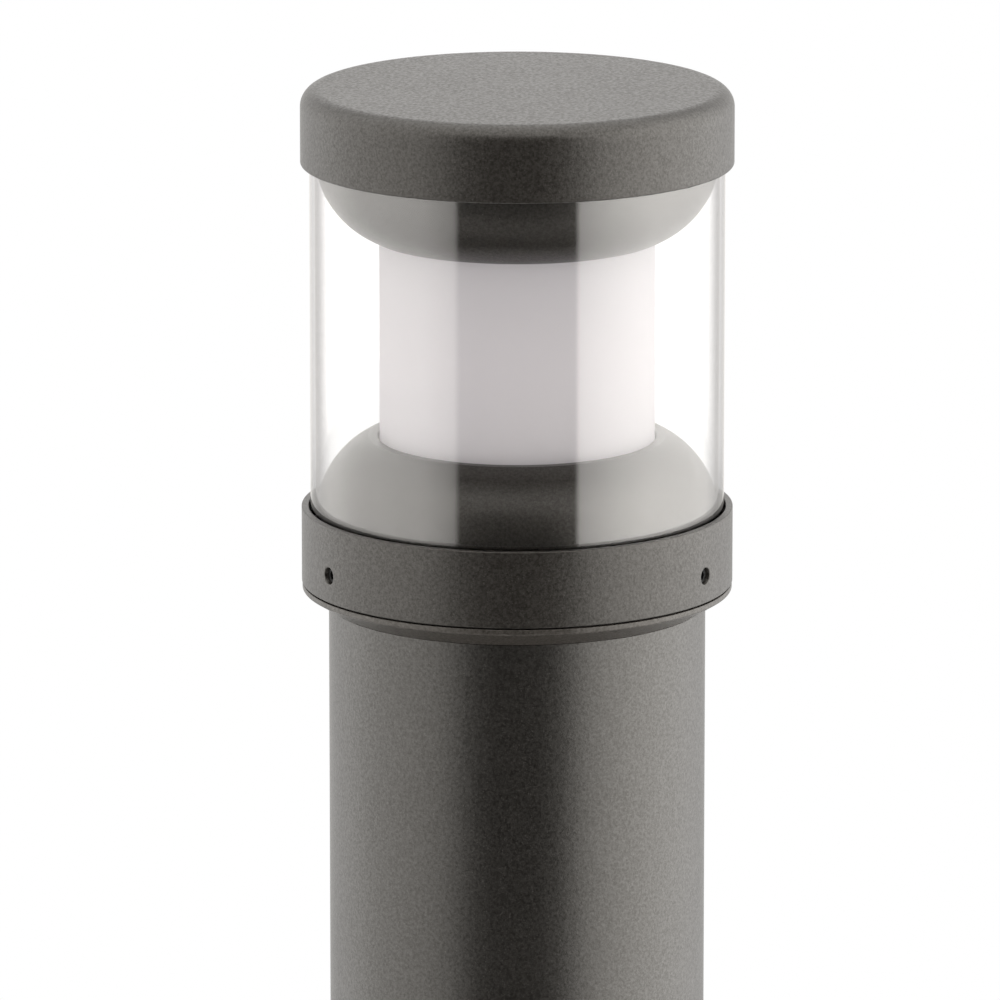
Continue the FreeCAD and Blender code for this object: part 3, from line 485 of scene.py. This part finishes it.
def plainFinish(name, tone, other, roughness, metallic=0.0, size=1.2 * mm, depth=0.01 * mm, stretch=(1, 1, 1),
                spread=0.1):
    # two close tones mixed by noise, with the same noise in the roughness and in a shallow bump
    material, tree = newTree(name)
    where = tree.add("TexCoord", output=3)
    where = tree.add("Mapping", {}, {"Vector": where, "Scale": stretch})
    grain = tree.add("TexNoise", {}, {"Vector": where, "Scale": 1 / size, "Detail": 4.0})
    broad = tree.add("TexNoise", {}, {"Vector": where, "Scale": 0.08 / size, "Detail": 2.0})
    colour = tree.blend(tree.ramp(grain * 0.6 + broad * 0.4, (0.35, 0), (0.65, 1)), tone, other)
    rough = roughness + (grain - 0.5) * spread + (broad - 0.5) * spread
    principled(tree, {"Metallic": metallic},
               {"Base Color": colour, "Roughness": rough, "Normal": bumped(tree, grain, depth, 0.6)})
    return material


finishes = {
    "graphite_coat": powderCoat("graphiteCoat"),
    "domeCoat": powderCoat("domeCoat", shade=1.1, grain=0.05, roughness=0.34, gloss=1.46, varnish=0.3),
    # painted shade: the post takes a darker copy of the same graphite coat (shade 0.6), standing in for the shade
    # that falls on it
    "paintedShadePostCoat": powderCoat("paintedShadePostCoat", shade=0.6, roughness=0.34, gloss=1.58),
    # painted light: the neck takes a lighter copy of the same graphite coat (shade 2.2), standing in for light from
    # the floor on its cone
    "paintedLightNeckCoat": powderCoat("paintedLightNeckCoat", shade=2.2),
    "capCoat": powderCoat("capCoat", levelFrom=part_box("top_cap")[1].z - 1.2 * mm),
    "clear_acrylic": clearAcrylic("clearAcrylic"),
    "opal_acrylic": opalAcrylic("opalAcrylic"),
    "seal_rubber": plainFinish("sealRubber", (0.018, 0.018, 0.018), (0.03, 0.03, 0.03), 0.62, size=2 * mm),
    "stainless": plainFinish("stainlessSteel", (0.46, 0.46, 0.45), (0.62, 0.62, 0.60), 0.28, 1.0,
                             size=0.6 * mm, stretch=(1, 1, 0.1)),
    "black_steel": plainFinish("blackSteel", (0.012, 0.012, 0.012), (0.03, 0.03, 0.03), 0.42, 0.6,
                               size=0.5 * mm),
    "galvanised_steel": plainFinish("zincSheet", (0.50, 0.51, 0.53), (0.68, 0.69, 0.70), 0.38, 1.0,
                                    size=9 * mm, spread=0.2),
    "lamp_ceramic": plainFinish("glazedSteatite", (0.80, 0.79, 0.74), (0.86, 0.85, 0.81), 0.18, size=4 * mm,
                                spread=0.05),
    "terminal_brass": plainFinish("plainBrass", (0.60, 0.43, 0.17), (0.75, 0.56, 0.27), 0.32, 1.0,
                                  size=0.8 * mm),
    "lamp_cap_metal": plainFinish("lampCapMetal", (0.66, 0.65, 0.62), (0.80, 0.79, 0.76), 0.25, 1.0,
                                  size=1.5 * mm),
    "lamp_plastic": plainFinish("lampPlastic", (0.80, 0.80, 0.79), (0.86, 0.86, 0.85), 0.42, size=1 * mm),
    "lamp_diffuser": plainFinish("lampDiffuser", (0.88, 0.87, 0.84), (0.92, 0.91, 0.89), 0.35, size=1 * mm),
    "terminal_plastic": plainFinish("terminalPlastic", (0.70, 0.67, 0.57), (0.76, 0.73, 0.63), 0.45,
                                    size=1 * mm),
    "lead_insulation": plainFinish("brownInsulation", (0.16, 0.07, 0.03), (0.22, 0.10, 0.05), 0.4,
                                   size=1 * mm),
    "earth_insulation": plainFinish("earthInsulation", (0.10, 0.32, 0.04), (0.55, 0.50, 0.03), 0.4,
                                    size=3 * mm),
}
print("finishes made:", len(finishes))

# every CAD node starts with the finish of its own slot
for part in frame["record"]["subparts"]:
    node = frame["nodes"][part["node"]]
    for slot in node.material_slots:
        slot.material = finishes[part["material_slot"]]


capBottom, capTop = heightsOf("top_cap")
collarBottom, collarTop = heightsOf("collar_ring")
headRadius = radiusOf("top_cap")

cap = {"round": 6.8 * mm, "edge": 0.7 * mm, "lip": 0.5 * mm, "rim": 2.7 * mm, "recess": 62 * mm,
       "plate": 6 * mm, "bossRadius": 6 * mm, "bossLength": 18 * mm, "rodRadius": 2.5 * mm}


def makeCap():
    # a turned hollow cap with three bosses inside for the tie rods
    seat = heightsOf("cap_gasket")[1]
    ceiling = capTop - cap["plate"]
    bore = headRadius - cap["rim"]
    outline = roundedOutline([
        (0, capTop), (headRadius, capTop, cap["round"]), (headRadius, capBottom, cap["edge"]),
        (bore, capBottom, cap["lip"]), (bore, seat), (cap["recess"], seat), (cap["recess"], ceiling),
        (0, ceiling)], closed=False, steps=10)
    grids = [turned(outline, closed=False, segments=256)]
    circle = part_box("tie_rods")[1].y - cap["rodRadius"]
    for index in range(3):
        angle = math.pi / 2 + index * tau / 3
        boss = roundedOutline([(0, ceiling - cap["bossLength"]), (cap["bossRadius"], ceiling - cap["bossLength"]),
                               (cap["bossRadius"], ceiling)], closed=False)
        points, faces = turned(boss, closed=False, segments=32)
        grids.append((points + np.array([circle * math.cos(angle), circle * math.sin(angle), 0]), faces))
    return makeMesh("topCap", grids, finishes["capCoat"], "head", ["top_cap"])


makeCap()

dome = {"wall": 2 * mm, "curve": 33 * mm, "toe": 8 * mm, "nose": 0.9 * mm, "gap": 0.25 * mm,
        "upperNose": 53.6 * mm, "lowerNose": 55.2 * mm, "upperRim": 1.0 * mm, "lowerRim": 0.8 * mm,
        "seatDepth": 6 * mm, "seatWidth": 5 * mm, "groove": 1.5 * mm, "grooveFrom": 0.9 * mm}


def makeDome(name, node, noseRadius, nose, rim, rimEnd, upward):
    # a flared bowl: an arc from the rim to a rounded nose, a lip round the opal tube and a flange behind it,
    # and a shadow groove behind the rim
    rimRadius = radiusOf(node)
    tube = radiusOf("opal_tube")
    seat = nose + upward * dome["seatDepth"]
    back = seat + upward * dome["wall"]
    lip, flange = tube + dome["gap"], tube - dome["seatWidth"]
    outside = arcOutline((rimRadius, rim), (noseRadius, nose), dome["curve"], 46)
    inside = arcOutline((noseRadius + dome["toe"], back), (rimRadius - dome["wall"], rim),
                        dome["curve"] - dome["wall"], 40)
    hidden, turnBack = rimRadius - dome["groove"], rim + upward * dome["grooveFrom"]
    corners = [(hidden, rimEnd), (hidden, turnBack), (rimRadius, turnBack), *map(tuple, outside[:-1]),
               (noseRadius, nose, dome["nose"]), (lip, nose, dome["nose"]), (lip, seat),
               (flange, seat, 0.2 * mm), (flange, back, 0.2 * mm), *map(tuple, inside),
               (rimRadius - dome["wall"], rimEnd)]
    grid = turned(roundedOutline(corners), segments=256)
    return makeMesh(name, [grid], finishes["domeCoat"], "head", [node])


makeDome("upperDome", "upper_dome", dome["upperNose"], heightsOf("upper_dome")[0],
         capBottom - dome["upperRim"], heightsOf("upper_dome")[1], 1)
makeDome("lowerDome", "lower_dome", dome["lowerNose"], heightsOf("lower_dome")[1],
         collarTop + dome["lowerRim"], heightsOf("lower_dome")[0], -1)


def makeTube(name, node, wall, ease, finish, body="head", segments=256):
    # a plain turned tube with eased ends
    low, high = heightsOf(node)
    outer = radiusOf(node)
    outline = roundedOutline([(outer, low, ease), (outer, high, ease), (outer - wall, high, ease),
                              (outer - wall, low, ease)], steps=4)
    return makeMesh(name, [turned(outline, segments=segments)], finishes[finish], body, [node])


makeTube("clearTube", "clear_tube", 2 * mm, 0.2 * mm, "clear_acrylic")
makeTube("opalTube", "opal_tube", 3 * mm, 0.4 * mm, "opal_acrylic")

collar = {"rim": 2.7 * mm, "edge": 0.4 * mm, "lip": 0.5 * mm, "bore": 70.6 * mm, "web": 4 * mm,
          "webBore": 37 * mm, "hole": 3.1 * mm, "ease": 0.25 * mm, "patch": 12, "between": 60,
          "patchHalf": 5.5 * mm, "innerPatchHalf": 3.9 * mm}


def makeCollar():
    # a ring with a seat for the clear tube, an inner web, and three tapped holes through its wall
    seat = heightsOf("collar_gasket")[0]
    webBottom = seat - collar["web"]
    screwLevel = sum(heightsOf("set_screw_rear")) / 2
    holes = [(math.pi / 2 + index * tau / 3, screwLevel) for index in range(3)]
    halfAngle = collar["patchHalf"] / headRadius
    angles = drilledAngles(3, math.pi / 2, halfAngle, collar["patch"], collar["between"])
    outer, inner = Band(headRadius), Band(collar["bore"])
    bottomEdge, topEdge = collarBottom + collar["edge"], collarTop - collar["edge"]
    mouth = collar["hole"] + collar["ease"]
    outerLevels = [bottomEdge, screwLevel - collar["patchHalf"], screwLevel + collar["patchHalf"], topEdge]
    innerLevels = [collarBottom, screwLevel - collar["innerPatchHalf"],
                   screwLevel + collar["innerPatchHalf"], webBottom]
    grids = drilledFace(outer, outerLevels, angles, holes, halfAngle, mouth, collar["patch"],
                        collar["between"])
    grids += drilledFace(inner, innerLevels, angles, holes, halfAngle, mouth, collar["patch"],
                         collar["between"])
    grids += tunnels(outer, inner, holes, collar["hole"], collar["ease"], collar["patch"], radialAxis)
    bore = headRadius - collar["rim"]
    over = roundedOutline([(headRadius, topEdge - 1 * mm), (headRadius, collarTop, collar["edge"]),
                           (bore, collarTop, collar["lip"]), (bore, seat), (collar["webBore"], seat, 0.3 * mm),
                           (collar["webBore"], webBottom, 0.3 * mm), (collar["bore"], webBottom)], closed=False)
    over = np.concatenate([[[headRadius, topEdge]], over[3:]])
    under = roundedOutline([(headRadius, bottomEdge + 1 * mm), (headRadius, collarBottom, collar["edge"]),
                            (collar["bore"], collarBottom)], closed=False)
    under = np.concatenate([[[headRadius, bottomEdge]], under[3:]])
    grids += [turned(over, False, angles), turned(under, False, angles)]
    return makeMesh("collarRing", grids, finishes["graphite_coat"], "head", ["collar_ring"],
                    mergeWithin=0.005 * mm)


makeCollar()


def hexagonRadius(flats, angle):
    # distance from the centre of a hexagon to its side, in each direction
    return flats / 2 / np.cos((angle % (tau / 6)) - tau / 12)


def screwGrid(rows, direction, level, segments=48):
    # rows are (distance from the main axis, radius, flats): round where flats is 0, else a hexagon
    angle = np.arange(segments) * tau / segments
    away = np.array([row[0] for row in rows])[:, None]
    reach = np.stack([row[1] + 0 * angle if not row[2] else hexagonRadius(row[2], angle) * row[1]
                      for row in rows])
    outward = np.array([math.cos(direction), math.sin(direction), 0])
    aside = np.array([-math.sin(direction), math.cos(direction), 0])
    up = np.array([0, 0, 1])
    points = (away[..., None] * outward + (reach * np.cos(angle))[..., None] * aside
              + (reach * np.sin(angle))[..., None] * up + level * up)
    return points, gridFaces(len(rows), segments, False, True)


setScrew = {"radius": 3 * mm, "flats": 3 * mm, "socket": 3.5 * mm, "cone": 1 * mm, "ease": 0.35 * mm,
            "length": 8 * mm, "tip": 70.5 * mm}


def makeSetScrew(name, side, direction):
    # a headless screw with a pointed tip and a hexagon socket in its outer end
    tip, end = setScrew["tip"], setScrew["tip"] + setScrew["length"]
    reach, ease, flats = setScrew["radius"], setScrew["ease"], setScrew["flats"]
    deep = end - setScrew["socket"]
    rows = [(tip, 0, 0), (tip, reach - setScrew["cone"], 0), (tip + setScrew["cone"], reach, 0),
            (tip + setScrew["cone"] + ease, reach, 0), (end - 2 * ease, reach, 0), (end - ease, reach, 0),
            (end, reach - ease, 0), (end, reach - 1.5 * ease, 0), (end, 1.12, flats), (end, 1.06, flats),
            (end - 0.1 * mm, 1, flats), (end - 0.4 * mm, 1, flats), (deep + 0.2 * mm, 1, flats),
            (deep, 0.98, flats), (deep - 0.4 * mm, 0, 0)]
    level = sum(heightsOf(f"set_screw_{side}")) / 2
    return makeMesh(name, [screwGrid(rows, direction, level)], finishes["black_steel"], f"screw_{side}",
                    [f"set_screw_{side}"], sharp=35)


for side, turn in (("rear", 90), ("left", 210), ("right", 330)):
    makeSetScrew(f"setScrew{side.capitalize()}", side, math.radians(turn))
print("head made")


post = {"wall": 4 * mm, "fitGap": 0.1 * mm, "ease": 0.25 * mm}

neck = {"inset": 0.2 * mm, "edgeHeight": 2.6 * mm, "edge": 0.8 * mm, "wall": 5 * mm, "deck": 4 * mm,
        "spigotWall": 7 * mm, "spigotGap": 0.4 * mm, "grooveHalf": 1.7 * mm, "grooveFloor": 67.1 * mm,
        "relief": 0.6 * mm, "reliefDepth": 3 * mm}


def makeNeck():
    # the casting between post and collar: a spigot in the post, a cone, a short edge and an upper spigot
    low, high = heightsOf("neck_casting")
    postTop = heightsOf("post_tube")[1]
    postRadius = radiusOf("post_tube")
    fit = postRadius - post["wall"] - post["fitGap"]
    spigot = collar["bore"] - neck["spigotGap"]
    edge = headRadius - neck["inset"]
    inner = spigot - neck["spigotWall"]
    ringLevel = sum(heightsOf("neck_sealing_ring")) / 2
    outline = roundedOutline([
        (0, postTop + neck["deck"]), (inner, postTop + neck["deck"], 0.5 * mm), (inner, high, 0.3 * mm),
        (spigot, high, 0.5 * mm), (spigot, ringLevel + neck["grooveHalf"], 0.15 * mm),
        (neck["grooveFloor"], ringLevel + neck["grooveHalf"]),
        (neck["grooveFloor"], ringLevel - neck["grooveHalf"]),
        (spigot, ringLevel - neck["grooveHalf"], 0.15 * mm), (spigot, collarBottom),
        (edge - neck["reliefDepth"], collarBottom), (edge - neck["reliefDepth"], collarBottom - neck["relief"]),
        (edge, collarBottom - neck["relief"], neck["edge"] / 2),
        (edge, collarBottom - neck["edgeHeight"], neck["edge"]),
        (postRadius, postTop, 0.15 * mm), (fit, postTop), (fit, low, 0.5 * mm),
        (fit - neck["wall"], low, 0.5 * mm), (fit - neck["wall"], postTop), (0, postTop)], closed=False)
    grid = turned(outline, closed=False, segments=256)
    return makeMesh("neckCasting", [grid], finishes["paintedLightNeckCoat"], "post", ["neck_casting"])


makeNeck()


def makeSealingRing():
    # a torus: radius ring + section * cos b, height level + section * sin b
    low, high = heightsOf("neck_sealing_ring")
    section = (high - low) / 2
    around = np.arange(24) * tau / 24
    centre = radiusOf("neck_sealing_ring") - section
    outline = np.stack([centre + section * np.cos(around), (low + high) / 2 + section * np.sin(around)], -1)
    makeMesh("neckSealingRing", [turned(outline)], finishes["seal_rubber"], "post",
             ["neck_sealing_ring"])


makeSealingRing()
makeTube("postTube", "post_tube", post["wall"], post["ease"], "paintedShadePostCoat", "post")

foot = {"round": 3 * mm, "edge": 0.5 * mm, "bore": 45 * mm, "wall": 8 * mm, "circle": 85 * mm,
        "hole": 6.5 * mm, "ease": 0.6 * mm, "patch": 12, "between": 36,
        "patchHalf": 10.5 * mm}


def makeFoot():
    # a round plate with four anchor holes and an open centre
    low, plateTop = heightsOf("base_flange")
    outside = radiusOf("base_flange")
    fit = radiusOf("foot_spigot")
    holes = [(math.pi / 2 + index * tau / 4, foot["circle"]) for index in range(4)]
    halfAngle = foot["patchHalf"] / foot["circle"]
    angles = drilledAngles(4, math.pi / 2, halfAngle, foot["patch"], foot["between"])
    near, far = foot["circle"] - foot["patchHalf"], foot["circle"] + foot["patchHalf"]
    mouth = foot["hole"] + foot["ease"]
    top, bottom = Plate(plateTop), Plate(low)
    topLevels = [fit, near, far, outside - foot["round"]]
    bottomLevels = [foot["bore"] + foot["edge"], near, far, outside - foot["edge"]]
    grids = drilledFace(top, topLevels, angles, holes, halfAngle, mouth, foot["patch"], foot["between"])
    grids += drilledFace(bottom, bottomLevels, angles, holes, halfAngle, mouth, foot["patch"],
                         foot["between"])
    grids += tunnels(top, bottom, holes, foot["hole"], foot["ease"], foot["patch"], uprightAxis)
    rim = roundedOutline([(outside - foot["round"] - 1 * mm, plateTop), (outside, plateTop, foot["round"]),
                          (outside, low, foot["edge"]), (outside - foot["edge"] - 1 * mm, low)],
                         closed=False)
    rim = np.concatenate([[[outside - foot["round"], plateTop]], rim[3:-3], [[outside - foot["edge"], low]]])
    core = roundedOutline([(foot["bore"] + foot["edge"] + 1 * mm, low), (foot["bore"], low, foot["edge"]),
                           (foot["bore"], plateTop, 0.3 * mm), (fit, plateTop)], closed=False)
    core = np.concatenate([[[foot["bore"] + foot["edge"], low]], core[3:]])
    grids += [turned(rim, False, angles), turned(core, False, angles)]
    return makeMesh("baseFlange", grids, finishes["graphite_coat"], "post", ["base_flange"],
                    mergeWithin=0.005 * mm)


makeFoot()
makeTube("footSpigot", "foot_spigot", foot["wall"], 0.4 * mm, "graphite_coat", "post")

footScrew = {"radius": 3 * mm, "head": 5.25 * mm, "height": 3.3 * mm, "flat": 2.9 * mm, "flats": 4 * mm,
             "socket": 2 * mm, "length": 14 * mm, "under": 70.1 * mm}


def makeFootScrews():
    # three button head screws: the head is a quarter ellipse from its rim to the flat round the socket
    level = heightsOf("foot_screws")[0] + footScrew["head"]
    seat, top = footScrew["under"], footScrew["under"] + footScrew["height"]
    swing = np.linspace(0, math.pi / 2, 9)
    side = seat + 0.7 * mm
    crown = [(side + (top - side) * math.sin(a),
              footScrew["flat"] + (footScrew["head"] - footScrew["flat"]) * math.cos(a), 0) for a in swing]
    deep = top - footScrew["socket"]
    rows = [(seat - footScrew["length"], 0, 0), (seat - footScrew["length"], footScrew["radius"] - 0.4 * mm, 0),
            (seat - footScrew["length"] + 0.4 * mm, footScrew["radius"], 0),
            (seat - 0.3 * mm, footScrew["radius"], 0), (seat, footScrew["radius"], 0),
            (seat, footScrew["head"] - 0.25 * mm, 0), (seat + 0.15 * mm, footScrew["head"], 0), *crown,
            (top, 1.06, footScrew["flats"]), (top - 0.1 * mm, 1, footScrew["flats"]),
            (top - 0.4 * mm, 1, footScrew["flats"]), (deep + 0.2 * mm, 1, footScrew["flats"]),
            (deep, 0.98, footScrew["flats"]), (deep - 0.3 * mm, 0, 0)]
    grids = [screwGrid(rows, math.radians(turn), level) for turn in (90, 210, 330)]
    makeMesh("footScrews", grids, finishes["stainless"], "post", ["foot_screws"], sharp=35)


makeFootScrews()
print("post side made")


lamp = {"threadDepth": 0.7 * mm, "threadPitch": 3.6 * mm, "threadStart": 4 * mm, "threadStop": 1.5 * mm,
        "bead": 0.6 * mm, "tip": 9 * mm, "cone": 1.2 * mm, "coneEnd": 0.8 * mm, "neck": 15 * mm,
        "waist": 16.2 * mm, "waistRise": 6 * mm}


def makeLamp():
    # the globe is a part of a sphere; the cap's thread is r = radius - depth * (1 - cos(turns)) / 2,
    # with turns = tau * height / pitch + angle
    bodyLow, bodyHigh = heightsOf("lamp_body")
    globeLow, globeHigh = heightsOf("lamp_globe")
    globeRadius = radiusOf("lamp_globe")
    centre = globeHigh - globeRadius
    tilt = np.linspace(math.asin((globeLow - centre) / globeRadius), math.pi / 2, 48)
    ball = np.stack([globeRadius * np.cos(tilt), centre + globeRadius * np.sin(tilt)], -1)
    ball[-1, 0] = 0
    ball = np.concatenate([[[0, globeLow]], ball])
    makeMesh("lampGlobe", [turned(ball, False, segments=96)], finishes["lamp_diffuser"], "lamp",
             ["lamp_globe"])
    shoulder = radiusOf("lamp_body")
    shell = roundedOutline([(0, bodyLow), (lamp["neck"], bodyLow, 1 * mm),
                            (lamp["waist"], bodyLow + lamp["waistRise"], 3 * mm),
                            (shoulder, bodyHigh - 2 * mm, 2 * mm), (shoulder, bodyHigh, 0.4 * mm),
                            (0, bodyHigh)], closed=False)
    makeMesh("lampBody", [turned(shell, False, segments=96)], finishes["lamp_plastic"], "lamp",
             ["lamp_body"])
    low, high = heightsOf("lamp_cap")
    radius = radiusOf("lamp_cap")
    start = low + lamp["threadStart"]
    height = np.linspace(start, high - lamp["threadStop"], 60)[:, None]
    angle = np.arange(96)[None] * tau / 96
    reach = radius - lamp["threadDepth"] * (1 - np.cos(tau * height / lamp["threadPitch"] + angle)) / 2
    ends = np.array([(0, low), (lamp["tip"], low), (radius - lamp["cone"], start - lamp["coneEnd"]),
                     (radius, high - lamp["bead"]), (radius, high), (0, high)])
    rings = turned(ends, False, segments=96)[0]
    thread = np.stack([reach * np.cos(angle), reach * np.sin(angle), height + 0 * angle], -1)
    points = np.concatenate([rings[:3], thread, rings[3:]])
    makeMesh("lampCap", [(points, gridFaces(len(points), 96, False, True))], finishes["lamp_cap_metal"],
             "lamp", ["lamp_cap"], sharp=60)


makeLamp()


holder = {"bore": 13.8 * mm, "body": 20 * mm, "baseHeight": 6 * mm, "recess": 6 * mm, "recessDepth": 4 * mm}


def makeLampholder():
    # a glazed body turned round the threaded bore, on a wider base
    low, high = heightsOf("lampholder")
    shelf, hollow = low + holder["baseHeight"], low + holder["recessDepth"]
    base = radiusOf("lampholder")
    contact = heightsOf("lampholder_contact")[0]
    outline = roundedOutline([
        (0, hollow), (holder["recess"], hollow), (holder["recess"], low), (base, low, 0.5 * mm),
        (base, shelf, 1.2 * mm), (holder["body"], shelf, 1.5 * mm), (holder["body"], high, 1.5 * mm),
        (holder["bore"], high, 1 * mm), (holder["bore"], contact), (0, contact)], closed=False)
    makeMesh("lampholderBody", [turned(outline, False, segments=96)], finishes["lamp_ceramic"], "post",
             ["lampholder"])


makeLampholder()
print("lamp made")


ground = {"radius": 3.0, "fadeFrom": 0.35, "fadeTo": 1.6, "tone": (0.66, 0.66, 0.66), "other": (0.70, 0.70, 0.70)}


def makeFloor():
    # a pale round floor that grows clear with distance: alpha falls smoothly from fadeFrom to fadeTo
    material, tree = newTree("paleFloor")
    where = tree.add("TexCoord", output=3)
    grain = tree.add("TexNoise", {}, {"Vector": where, "Scale": 60.0, "Detail": 4.0})
    colour = tree.blend(grain, ground["tone"], ground["other"])
    distance = tree.add("VectorMath", {"operation": "LENGTH"}, {0: where}, 1)
    solid = tree.add("MapRange", {"interpolation_type": "SMOOTHERSTEP"},
                     {0: distance, 1: ground["fadeTo"], 2: ground["fadeFrom"]})
    principled(tree, {}, {"Base Color": colour, "Roughness": 0.7 + grain * 0.1, "Alpha": solid})
    angle = np.arange(96) * tau / 96
    points = np.stack([ground["radius"] * np.cos(angle), ground["radius"] * np.sin(angle), 0 * angle], -1)
    mesh = bpy.data.meshes.new("floor")
    mesh.from_pydata(points.tolist(), [], [list(range(96))])
    mesh.materials.append(material)
    floor = bpy.data.objects.new("floor", mesh)
    bpy.context.scene.collection.objects.link(floor)


makeFloor()

print("finished")
